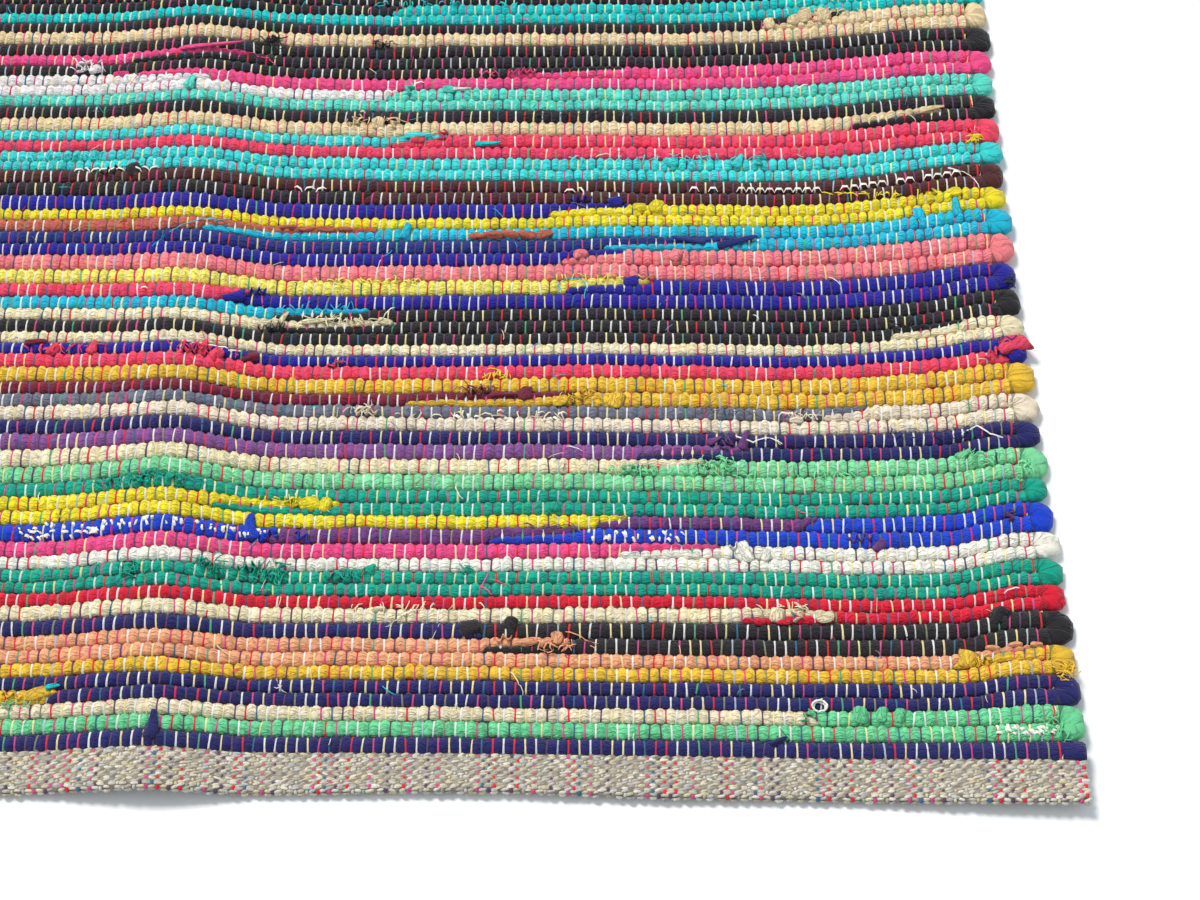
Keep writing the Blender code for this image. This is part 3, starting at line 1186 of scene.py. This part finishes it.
def oatmeal_cloth():
    material, tree, shader = matt_material("oatmeal_weave", 0.9, 0.2)
    place = tree.nodes.new("ShaderNodeTexCoord")
    grain = noise(tree, place.outputs["Object"], (400, 500, 400), 3.0)
    # The cloth under the floats is painted much darker than the oatmeal yarn, as painted shade in
    # the gaps between the floats.
    ramp = tree.nodes.new("ShaderNodeValToRGB")
    for stop, place_on, shade in zip(
        ramp.color_ramp.elements, (0.35, 0.7), ((120, 112, 99), (166, 156, 140))
    ):
        stop.position = place_on
        stop.color = (*linear(*shade), 1)
    tree.links.new(grain, ramp.inputs["Fac"])
    tree.links.new(ramp.outputs["Color"], shader.inputs["Base Color"])
    bumped(tree, shader, grain, 0.7, 0.0008)
    return material


hem_weave_painted_shade = oatmeal_cloth()
float_tree = bump_tree()
for side_name, end in (("near", -1), ("far", 1)):
    body = hem_body(f"hem_cloth_{side_name}", end, hem_weave_painted_shade)
    floats = realised(
        f"hem_floats_{side_name}", float_tree, {"Yarn": cotton_yarn}, *hem_floats(end), 4, 3
    )
    of_the_rug(body, floats)

# ------------------------------------------------------------------ tails and loose ends
# Where strips start and end, their tails stand out of the weave as crumpled knobs
# and pointed tabs. They are the same cloth, held down by the yarn next to them.

TAIL_COLUMNS = ("kind", "dye", "x", "row", "length", "width", "turn")
# A row of 14.6 is 0.6 of the way across row 14, from its near edge.
TAILS = (
    ("tab", "navy", -124, 1.2, 14, 7, 80),
    ("tab", "navy", 164, 0.9, 9, 4, 20),
    ("ruffle", "spring", 178, 2.5, 7, 5, 60),
    ("knob", "spring", 203, 2.6, 9, 7, 80),
    ("knob", "spring", 213, 2.65, 8, 5.6, 85),
    ("knob", "spring", 221, 2.6, 7.5, 5.6, 95),
    ("knob", "mustard", -180, 3.6, 13, 6, 8),
    ("ruffle", "mustard", -192, 3.5, 10, 5, -10),
    ("tab", "teal", -173, 4.1, 7, 3, 10),
    ("knob", "peach", 267, 7.0, 7, 2.6, 0),
    ("knob", "peach", 278, 7.0, 7, 2.6, 5),
    ("knob", "peach", 288, 6.9, 6, 2.6, 0),
    ("knob", "mustard", 254, 6.6, 9, 9, 80),
    ("ruffle", "mustard", 262, 6.3, 8, 5, 10),
    ("knob", "peach", 62, 7.9, 7, 6, 70),
    ("knob", "peach", 48, 7.7, 10, 4.5, 5),
    ("ruffle", "peach", 36, 7.8, 9, 5, 10),
    ("knob", "black", 20, 8.6, 10, 8, 10),
    ("knob", "black", 40, 8.9, 7, 7, 80),
    ("knob", "black", 272, 8.9, 9, 8, 60),
    ("knob", "cream", 166, 9.5, 8, 7, 80),
    ("ruffle", "cream", 176, 9.7, 10, 7, 85),
    ("knob", "cream", 189, 9.4, 9, 6, 10),
    ("knob", "red", 158, 9.05, 6, 3, 0),
    ("knob", "red", 169, 9.0, 7, 3, 0),
    ("knob", "cream", -24, 9.8, 8, 3, 0),
    ("ruffle", "emerald", -141, 12.1, 11, 9, 80),
    ("ruffle", "emerald", -88, 12.9, 14, 8, 20),
    ("ruffle", "emerald", -78, 12.4, 15, 10, 10),
    ("ruffle", "emerald", -71, 12.9, 10, 7, 110),
    ("ruffle", "emerald", -105, 12.8, 12, 6, 150),
    ("ruffle", "emerald", -46, 12.4, 9, 5, 0),
    ("tab", "emerald", -28, 13.0, 6, 5, 60),
    ("knob", "offwhite", 152, 14.4, 12, 8, 120),
    ("ruffle", "offwhite", 148, 14.8, 8, 5, 20),
    ("knob", "offwhite", 162, 14.2, 7, 5, 60),
    ("tab", "royal", -87, 15.9, 14, 8, 95),
    ("ruffle", "royal", -79, 15.4, 10, 8, 10),
    ("ruffle", "royal", -62, 15.3, 9, 7, -30),
    ("ruffle", "purple", 208, 15.5, 12, 6, 10),
    ("knob", "purple", 217, 15.1, 8, 5, 60),
    ("ruffle", "purple", 282, 16.0, 8, 5, 80),
    ("knob", "yellow", -60, 17.7, 10, 7, 10),
    ("knob", "yellow", -52, 17.6, 8, 6, 60),
    ("ruffle", "yellow", -69, 17.8, 9, 6, -30),
    ("knob", "emerald", 60, 17.5, 5, 6, 80),
    ("ruffle", "emerald", -140, 18.6, 10, 6, 20),
    ("ruffle", "emerald", -126, 18.5, 10, 6, -20),
    ("ruffle", "emerald", -156, 18.5, 9, 5, 0),
    ("ruffle", "leaf", 98, 20.3, 10, 5, 10),
    ("ruffle", "leaf", 133, 20.3, 9, 9, 60),
    ("ruffle", "leaf", 146, 20.4, 8, 8, 100),
    ("tab", "leaf", 262, 20.9, 9, 5, 40),
    ("ruffle", "purple", 146, 22.2, 11, 8, 50),
    ("tab", "purple", 154, 22.4, 11, 6, 70),
    ("tab", "purple", 139, 22.3, 8, 4, 20),
    ("knob", "shell", 180, 24.0, 7, 4, 10),
    ("ruffle", "shell", -35, 24.2, 12, 4, 0),
    ("ruffle", "maroon", 20, 25.9, 13, 8, 20),
    ("knob", "maroon", 45, 25.8, 8, 7, 100),
    ("tab", "maroon", 34, 25.7, 14, 3, 0),
    ("ruffle", "mustard", 72, 25.6, 15, 8, 30),
    ("knob", "mustard", 90, 25.3, 9, 8, 80),
    ("knob", "mustard", 62, 25.2, 8, 6, 0),
    ("ruffle", "coral", -124, 28.1, 14, 7, 10),
    ("knob", "coral", -112, 28.0, 8, 7, 60),
    ("tab", "coral", -118, 28.5, 9, 6, 80),
    ("knob", "maroon", -95, 28.3, 9, 5, 10),
    ("ruffle", "coral", -52, 28.1, 9, 5, 30),
    ("tab", "coral", -175, 28.4, 8, 6, 70),
    ("knob", "coral", -196, 28.2, 8, 6, 60),
    ("tab", "maroon", -205, 28.8, 12, 4, 0),
    ("ruffle", "coral", 282, 27.7, 12, 6, 30),
    ("tab", "coral", 292, 28.2, 17, 13, 215),
    ("knob", "cream", -88, 31.6, 14, 5, 0),
    ("tab", "cream", -62, 31.9, 18, 3, 5),
    ("ruffle", "cream", -42, 31.8, 8, 6, 60),
    ("knob", "cream", -28, 31.8, 8, 4, -10),
    ("tab", "cream", -80, 32.1, 8, 4, 60),
    ("ruffle", "black", -86, 31.2, 14, 8, 10),
    ("ruffle", "ultramarine", -97, 33.8, 15, 6, 10),
    ("tab", "ultramarine", -106, 33.3, 12, 7, 190),
    ("knob", "ultramarine", 98, 34.8, 8, 6, 0),
    ("knob", "salmon", 122, 36.5, 8, 6, 70),
    ("knob", "salmon", 72, 36.6, 8, 6, 20),
    ("tab", "dusk", 154, 37.5, 22, 5, 10),
    ("tab", "dusk", 128, 37.6, 18, 4, 170),
    ("knob", "terracotta", 18, 38.25, 10, 4, 0),
    ("knob", "terracotta", 26, 38.3, 10, 5, 5),
    ("knob", "terracotta", 35, 38.35, 10, 5, 0),
    ("knob", "terracotta", 44, 38.35, 10, 5, -5),
    ("knob", "terracotta", 53, 38.3, 9, 5, 10),
    ("knob", "terracotta", -82, 38.85, 9, 3, 0),
    ("knob", "terracotta", -72, 38.85, 10, 3, 0),
    ("knob", "terracotta", -62, 38.85, 10, 3, 0),
    ("knob", "terracotta", -52, 38.85, 8, 2.6, 0),
    ("tab", "sky", 270, 39.2, 12, 6, 92),
    ("knob", "sky", 250, 39.0, 8, 6, 80),
    ("tab", "sky", -20, 38.7, 10, 6, 80),
    ("knob", "yellow", 112, 40.7, 8, 8, 80),
    ("knob", "yellow", 103, 40.6, 7, 6, 20),
    ("knob", "yellow", 270, 40.6, 8, 5, 20),
    ("ruffle", "yellow", 258, 40.5, 9, 6, 70),
    ("ruffle", "ultramarine", 72, 41.2, 12, 6, 10),
    ("knob", "ultramarine", 90, 41.1, 8, 6, 20),
    ("ruffle", "brown", -178, 42.8, 12, 7, 20),
    ("knob", "black", -166, 42.9, 8, 7, 30),
    ("tab", "turquoise", 156, 44.7, 9, 6, 60),
    ("ruffle", "teal", 168, 44.7, 9, 6, 60),
    ("knob", "turquoise", 120, 44.7, 8, 6, 10),
    ("ruffle", "coral", -3, 46.8, 8, 7, 70),
    ("knob", "coral", -16, 46.6, 8, 5, 0),
    ("tab", "turquoise", -16, 46.9, 14, 4, 4),
    ("tab", "teal", 22, 46.1, 14, 3.5, 2),
    ("ruffle", "tan", -50, 48.0, 9, 8, 60),
    ("knob", "tan", -38, 47.9, 8, 7, 100),
    ("ruffle", "tan", -29, 47.8, 8, 6, 60),
    ("tab", "tan", 262, 47.8, 14, 4, 12),
    ("tab", "aqua", -140, 50.5, 9, 7, 80),
    ("ruffle", "aqua", -22, 50.9, 9, 6, 70),
    ("knob", "aqua", 0, 50.8, 8, 5, 0),
    ("tab", "blush", 6, 50.8, 12, 3, -4),
    ("ruffle", "blush", -202, 52.8, 10, 9, 80),
    ("knob", "blush", -195, 52.4, 7, 6, 20),
    ("knob", "hotpink", -180, 51.8, 9, 3.6, 0),
    ("ruffle", "hotpink", 40, 52.4, 14, 4, 0),
    ("tab", "hotpink", -130, 53.9, 36, 3.4, 4),
    ("ruffle", "black", -100, 55.1, 12, 6, 40),
    ("ruffle", "black", -38, 54.9, 9, 6, 20),
    ("ruffle", "tan", 200, 56.9, 13, 8, 30),
    ("knob", "tan", 205, 56.8, 11, 9, 70),
    ("knob", "tan", 196, 56.9, 9, 8, 20),
    ("knob", "tan", 190, 56.6, 8, 7, 60),
    ("knob", "tan", 176, 56.4, 8, 6, 100),
    ("knob", "teal", -124, 58.9, 8, 7, 80),
)
tail_chance = np.random.default_rng(59)
CLOTH_TOP = 6.1  # from the floor to a little under the top of the strips


def surface(x, y):
    return float(lift(np.array(float(x)), np.array(float(y)))) + CLOTH_TOP


def row_place(x, row):
    """The y of a fractional row at x."""
    whole = int(row)
    near, far = float(edge_at(whole, x)), float(edge_at(whole + 1, x))
    return near + (far - near) * (row - whole)


def crumple(kind, length, width, height):
    """A closed crumpled shape along x, as rings of points.

    A knob is a pinched lump, a tab narrows to a point, and a ruffle is the edge of
    a strip standing up in waves.
    """
    phase = tail_chance.uniform(0, 6.28, 4)
    rings = []
    if kind == "ruffle":
        waves = max(2, round(length / 4.0))
        count = 4 * waves + 1
        for i in range(count):
            u = i / (count - 1)
            spread = math.sin(math.pi * (0.10 + 0.80 * u)) ** 0.5
            swing = 0.36 * width * spread * math.sin(math.pi * i / 2 + 0.3 * phase[0])
            tall = height / 2 * spread * tail_chance.uniform(0.8, 1.2)
            thick = tail_chance.uniform(0.5, 0.8)
            lean = 0.5 * math.cos(math.pi * i / 2) + 0.3 * math.sin(phase[1] + 2 * u)
            ring = []
            for turn in np.radians([0, 60, 120, 180, 240, 300]):
                along_z = tall * math.sin(turn)
                ring.append(
                    (
                        (u - 0.5) * length + lean * along_z * 0.5,
                        swing + thick * math.cos(turn) + lean * along_z * 0.4,
                        along_z,
                    )
                )
            rings.append(ring)
        return rings
    for i in range(9):
        u = i / 8
        if kind == "tab":
            girth = min(1.0, 0.5 + 2.2 * u) * (1 - u) ** 0.7 + 0.06
        else:
            girth = max(math.sin(math.pi * u), 0.0) ** 0.55 * 0.9 + 0.1
        wave = 0.16 * math.sin(5.5 * u + phase[3])
        ring = []
        for turn in np.radians(np.arange(0, 360, 36)):
            fold = 1 + 0.24 * math.sin(3 * turn + phase[0] + 3 * u)
            fold += 0.19 * math.sin(5 * turn + phase[1] - 4 * u) + tail_chance.normal(0, 0.05)
            ring.append(
                (
                    -math.cos(math.pi * u) * length / 2,
                    girth * fold * math.cos(turn) * width / 2 + wave * width / 2,
                    girth * fold * math.sin(turn) * height / 2,
                )
            )
        rings.append(ring)
    return rings


tail_points, tail_faces, tail_uvs, tail_lies, tail_tints = [], [], [], [], []
squares = math.ceil(math.sqrt(len(TAILS)))
start = 0
for number, row in enumerate(TAILS):
    tail = dict(zip(TAIL_COLUMNS, row))
    kind, length, width = tail["kind"], tail["length"], tail["width"]
    x, y = tail["x"], row_place(tail["x"], tail["row"])
    turn = math.radians(tail["turn"])
    height = 3.6 if kind == "ruffle" else min(3.0, 1.3 + 0.24 * width)
    rings = crumple(kind, length, width, height)
    sides = len(rings[0])
    shape = np.array(rings).reshape(-1, 3)
    if kind == "tab":
        shape[:, 2] += 0.10 * (shape[:, 0] + length / 2)
    cos, sin = math.cos(turn), math.sin(turn)
    placed = np.column_stack(
        [
            x + shape[:, 0] * cos - shape[:, 1] * sin,
            y + shape[:, 0] * sin + shape[:, 1] * cos,
            surface(x, y) + 0.35 + shape[:, 2],
        ]
    )
    tail_points.append(placed)
    tail_lies.append(shape * (1.3, 1.3, 1.0) + (number * 7.0, 0.0, number))
    colour = linear(*DYES[tail["dye"]]) * tail_chance.uniform(0.84, 1.04)
    tail_tints.append(np.tile((*colour, 1.0), (len(shape), 1)))
    column, line = number % squares, number // squares

    def sheet_place(p, q):
        """Where ring p and side q lie on this tail's own square of the sheet."""
        return (
            (column + 0.08 + 0.84 * p / (len(rings) - 1)) / squares,
            (line + 0.08 + 0.84 * q / sides) / squares,
        )

    for i in range(len(rings) - 1):
        for k in range(sides):
            k1 = (k + 1) % sides
            a, b = start + i * sides + k, start + i * sides + k1
            tail_faces.append((a, a + sides, b + sides, b)[::-1])
            corners = ((i, k), (i + 1, k), (i + 1, k + 1), (i, k + 1))
            tail_uvs += [sheet_place(p, q) for p, q in corners][::-1]
    for i, order in ((0, -1), (len(rings) - 1, 1)):
        around = list(range(sides))[::order]
        tail_faces.append(tuple(start + i * sides + k for k in around))
        tail_uvs += [sheet_place(i, k) for k in around]
    start += len(shape)
tails = new_piece("strip_tails", np.concatenate(tail_points), tail_faces, rag_material)
give(tails.data, "lie", "FLOAT_VECTOR", "POINT", np.concatenate(tail_lies))
give(tails.data, "dye", "FLOAT_COLOR", "POINT", np.concatenate(tail_tints))
bake_sheet(tails.data, tail_uvs)
of_the_rug(tails)

# ------------------------------------------------------------------ threads
# Frayed edges, flecks of white yarn caught in three strips, and the odd long
# thread that has worked loose. Each is a chain of short arched lengths of thread.

FRAY_COLUMNS = ("dye", "x", "row", "spread_x", "spread_y", "count")
FRAYS = (
    ("mustard", 301, 5.2, 4, 6, 34),
    ("mustard", 257, 6.4, 5, 4, 8),
    ("spring", 291, 1.6, 9, 6, 26),
    ("spring", -190, 2.9, 24, 1, 14),
    ("peach", 60, 7.4, 12, 3, 22),
    ("cream", -5, 10.0, 26, 1, 16),
    ("cream", 172, 10.0, 12, 2, 10),
    ("emerald", -80, 12.6, 12, 5, 36),
    ("emerald", -104, 12.9, 10, 5, 30),
    ("emerald", -142, 12.2, 8, 5, 18),
    ("emerald", -36, 12.6, 12, 3, 20),
    ("emerald", 20, 13.0, 8, 2, 8),
    ("purple", 60, 16.0, 14, 2, 10),
    ("emerald", -138, 18.6, 30, 4, 60),
    ("yellow", -70, 18.0, 18, 2, 18),
    ("leaf", 100, 20.2, 16, 3, 24),
    ("leaf", 140, 20.5, 10, 5, 26),
    ("leaf", 190, 20.0, 60, 2, 26),
    ("leaf", 266, 20.6, 14, 5, 24),
    ("leaf", 293, 19.6, 5, 6, 12),
    ("navy", 250, 22.5, 30, 2, 18),
    ("grey", 150, 24.6, 26, 2, 14),
    ("shell", -36, 24.4, 12, 2, 16),
    ("shell", 182, 24.2, 10, 2, 16),
    ("shell", 30, 24.0, 60, 1, 22),
    ("maroon", 20, 26.2, 10, 3, 16),
    ("mustard", 76, 25.6, 16, 3, 18),
    ("yellow", 30, 27.2, 6, 2, 14),
    ("coral", -118, 28.4, 16, 4, 30),
    ("coral", -190, 28.3, 20, 2, 18),
    ("ultramarine", 291, 28.6, 7, 3, 14),
    ("black", 230, 31.0, 20, 1, 16),
    ("black", 294, 33.4, 3, 3, 12),
    ("cream", -55, 31.9, 34, 2, 26),
    ("sky", -60, 33.0, 30, 1, 12),
    ("lemon", -36, 34.8, 30, 1.5, 30),
    ("lemon", 80, 35.0, 30, 1, 14),
    ("yellow", 240, 41.0, 40, 1, 22),
    ("turquoise", 120, 44.9, 50, 2, 30),
    ("turquoise", -200, 44.2, 30, 2, 30),
    ("coral", 284, 45.8, 6, 3, 8),
    ("yellow", 284, 45.2, 4, 4, 16),
    ("tan", -38, 48.0, 16, 3, 20),
    ("black", 60, 48.5, 30, 2, 14),
    ("blush", -198, 52.8, 8, 4, 16),
    ("hotpink", 30, 52.2, 16, 2, 10),
    ("black", -100, 55.0, 8, 4, 26),
    ("black", -38, 55.0, 8, 3, 12),
    ("tan", 212, 57.0, 12, 3, 16),
    ("teal", -10, 58.9, 60, 1, 24),
)
FLECK_COLUMNS = ("x_from", "x_to", "row", "low", "high", "spin", "count")
FLECKS = (
    (-204, -160, 15, 0.05, 0.45, 1.2, 24),
    (-200, -165, 15, 0.5, 0.85, 0.6, 9),
    (-162, -80, 15, 0.3, 0.7, 0.15, 50),
    (74, 122, 15, 0.15, 0.7, 0.4, 22),
    (264, 294, 1, 0.3, 0.8, 0.8, 34),
    (10, 60, 23, 0.6, 1.0, 0.8, 12),
)
# Loose threads: dye, then points as x and row.
LOOSE = (
    ("sky", (-150, 36.4), (-142, 37.5), (-134, 38.2), (-126, 38.6), (-112, 38.9)),
    ("sky", (62, 33.9), (60, 34.5), (64, 35.0), (72, 34.9), (75, 34.2), (74, 33.5)),
    ("offwhite", (268, 42.6), (274, 42.2), (280, 41.6), (283, 40.8)),
    ("peach", (66, 8.3), (74, 7.9), (82, 7.5)),
    ("offwhite", (-20, 8.6), (-12, 9.4), (-4, 9.8)),
    ("cream", (40, 5.5), (44, 4.6), (46, 3.8)),
    ("offwhite", (-140, 29.0), (-118, 28.8), (-100, 28.6)),
    ("black", (-96, 55.2), (-92, 54.0), (-100, 53.0)),
    ("hotpink", (-120, 53.9), (-100, 53.4), (-96, 52.9)),
    ("offwhite", (150, 22.6), (158, 22.2), (166, 22.6), (172, 22.2)),
    ("offwhite", (262, 22.4), (270, 22.8), (276, 22.0), (282, 21.6)),
    ("hotpink", (28, 12.6), (25, 11.6), (30, 11.0)),
    ("dusk", (88, 16.9), (95, 16.7), (101, 17.2)),
)
thread_chance = np.random.default_rng(83)
spots, lays, shapes, tints = [], [], [], []


def thread(x, y, dye, half, spin, thick=0.24, crown=0.9, lean=0.0, nod=0.0, raised=0.0):
    """One arched length of thread, half of it either side of x and y."""
    spots.append((x, y, surface(x, y) + raised))
    lays.append((nod, lean, spin))
    shapes.append((thick, half, crown))
    tints.append(linear(*DYES[dye]) * thread_chance.uniform(0.85, 1.1))


for row in FRAYS:
    fray = dict(zip(FRAY_COLUMNS, row))
    centre_y = row_place(fray["x"], fray["row"])
    for _ in range(fray["count"]):
        thread(
            fray["x"] + thread_chance.normal(0, fray["spread_x"] / 2),
            centre_y + thread_chance.normal(0, fray["spread_y"] / 2),
            fray["dye"],
            thread_chance.uniform(1.2, 3.4),
            thread_chance.uniform(-math.pi, math.pi),
            thick=thread_chance.uniform(0.16, 0.34),
            crown=thread_chance.uniform(0.5, 1.7),
            lean=thread_chance.normal(0, 0.6),
            nod=thread_chance.normal(0, 0.25),
            raised=thread_chance.uniform(-0.1, 0.8),
        )
for row in FLECKS:
    fleck = dict(zip(FLECK_COLUMNS, row))
    for _ in range(fleck["count"]):
        x = thread_chance.uniform(fleck["x_from"], fleck["x_to"])
        part = thread_chance.uniform(fleck["low"], fleck["high"])
        thread(
            x,
            row_place(x, fleck["row"] + part),
            "offwhite",
            thread_chance.uniform(0.9, 1.8),
            thread_chance.normal(fleck["spin"], 0.35),
            thick=thread_chance.uniform(0.45, 0.8),
            crown=1.0,
            raised=0.1,
        )
for dye, *way in LOOSE:
    for (x_a, row_a), (x_b, row_b) in zip(way, way[1:]):
        y_a, y_b = row_place(x_a, row_a), row_place(x_b, row_b)
        far = math.hypot(x_b - x_a, y_b - y_a)
        pieces = max(1, round(far / 6))
        for piece_number in range(pieces):
            t = (piece_number + 0.5) / pieces
            thread(
                x_a + (x_b - x_a) * t,
                y_a + (y_b - y_a) * t,
                dye,
                far / pieces / 2 * 1.06,
                math.atan2(y_b - y_a, x_b - x_a) - math.pi / 2,
                thick=0.36 if dye == "offwhite" else 0.26,
                crown=0.7,
                lean=thread_chance.normal(0, 0.8),
                raised=0.55,
            )
# One white thread has curled up on itself, two and a half times round.
for step in range(23):
    turn = 0.7 * step
    thread(
        184 + (2.6 + 0.04 * step) * math.cos(turn),
        row_place(184, 3.15) + (2.2 + 0.03 * step) * math.sin(turn),
        "offwhite",
        1.15,
        turn,
        thick=0.42,
        crown=0.5,
        lean=thread_chance.normal(0, 0.3),
        raised=0.3 + 0.07 * step,
    )
# A white thread runs in scallops from warp end to warp end along a brown row.
for x in np.arange(132, 276, 5.0):
    if thread_chance.uniform() < 0.8:
        arch_y = row_place(x, 42.0)
        thread(x, arch_y, "offwhite", 2.5, math.pi / 2, 0.42, 2.0, lean=1.0, raised=-0.4)
for x in np.arange(-196, -150, 4.6):
    thread(x, row_place(x, 42.8), "offwhite", 2.6, thread_chance.normal(1.4, 0.5), 0.4, 1.2, 0.5)
for x in (-78, -72, -66, 66, 72):
    thread(x, row_place(x, 41.9), "offwhite", 2.8, thread_chance.normal(0.8, 0.7), 0.45, 1.4, 0.5)
# Lint lies all over it.
for _ in range(330):
    x, row_number = thread_chance.uniform(-285, 285), thread_chance.uniform(0.5, ROWS - 0.5)
    dye = str(thread_chance.choice(["offwhite", "cream", "grey", "coral", "sky", "black"]))
    thread(
        x,
        row_place(x, row_number),
        dye,
        thread_chance.uniform(1.5, 4.5),
        thread_chance.uniform(-math.pi, math.pi),
        thick=thread_chance.uniform(0.09, 0.16),
        crown=thread_chance.uniform(0.5, 1.2),
        lean=thread_chance.normal(0, 0.7),
        raised=0.3,
    )
THREAD = {**OVER, "Steps Along": 4}
loose_ends = realised("loose_threads", arch, THREAD, spots, lays, shapes, np.array(tints), 3, 4)
of_the_rug(loose_ends)

# ------------------------------------------------------------------ floor, light and camera
# A plain white floor under a broad soft light from the far left, seen from above
# the near edge.

floor_mesh = bpy.data.meshes.new("floor")
floor_mesh.from_pydata([(-6, -6, 0), (6, -6, 0), (6, 6, 0), (-6, 6, 0)], [], [(0, 1, 2, 3)])
floor = bpy.data.objects.new("floor", floor_mesh)
bpy.context.scene.collection.objects.link(floor)
paint = bpy.data.materials.new("white_floor")
paint.use_nodes = True
paint.node_tree.nodes["Principled BSDF"].inputs["Base Color"].default_value = (0.9, 0.9, 0.9, 1)
paint.node_tree.nodes["Principled BSDF"].inputs["Roughness"].default_value = 0.9
floor_mesh.materials.append(paint)

world = bpy.data.worlds.new("studio")
world.use_nodes = True
world.node_tree.nodes["Background"].inputs["Color"].default_value = (0.86, 0.93, 1.0, 1)
world.node_tree.nodes["Background"].inputs["Strength"].default_value = 0.66
bpy.context.scene.world = world

key_data = bpy.data.lights.new("key", "SUN")
key_data.energy = 2.65
key_data.angle = math.radians(18)
key_data.color = (1.0, 0.985, 0.96)
key = bpy.data.objects.new("key", key_data)
key.rotation_euler = Vector((0.50, -0.55, -1.0)).to_track_quat("-Z", "Y").to_euler()
bpy.context.scene.collection.objects.link(key)

LENS = 75.0
SIGHT_FROM = Vector((0.082, -0.931, 1.048))
SIGHT_TO = Vector((0.082, -0.262, 0.007))
camera_data = bpy.data.cameras.new("camera")
camera_data.lens = LENS
camera_data.sensor_width = 36.0
camera = bpy.data.objects.new("camera", camera_data)
camera.location = SIGHT_FROM
camera.rotation_euler = (SIGHT_TO - SIGHT_FROM).to_track_quat("-Z", "Y").to_euler()
bpy.context.scene.collection.objects.link(camera)
bpy.context.scene.camera = camera
bpy.context.scene.view_settings.view_transform = "Standard"
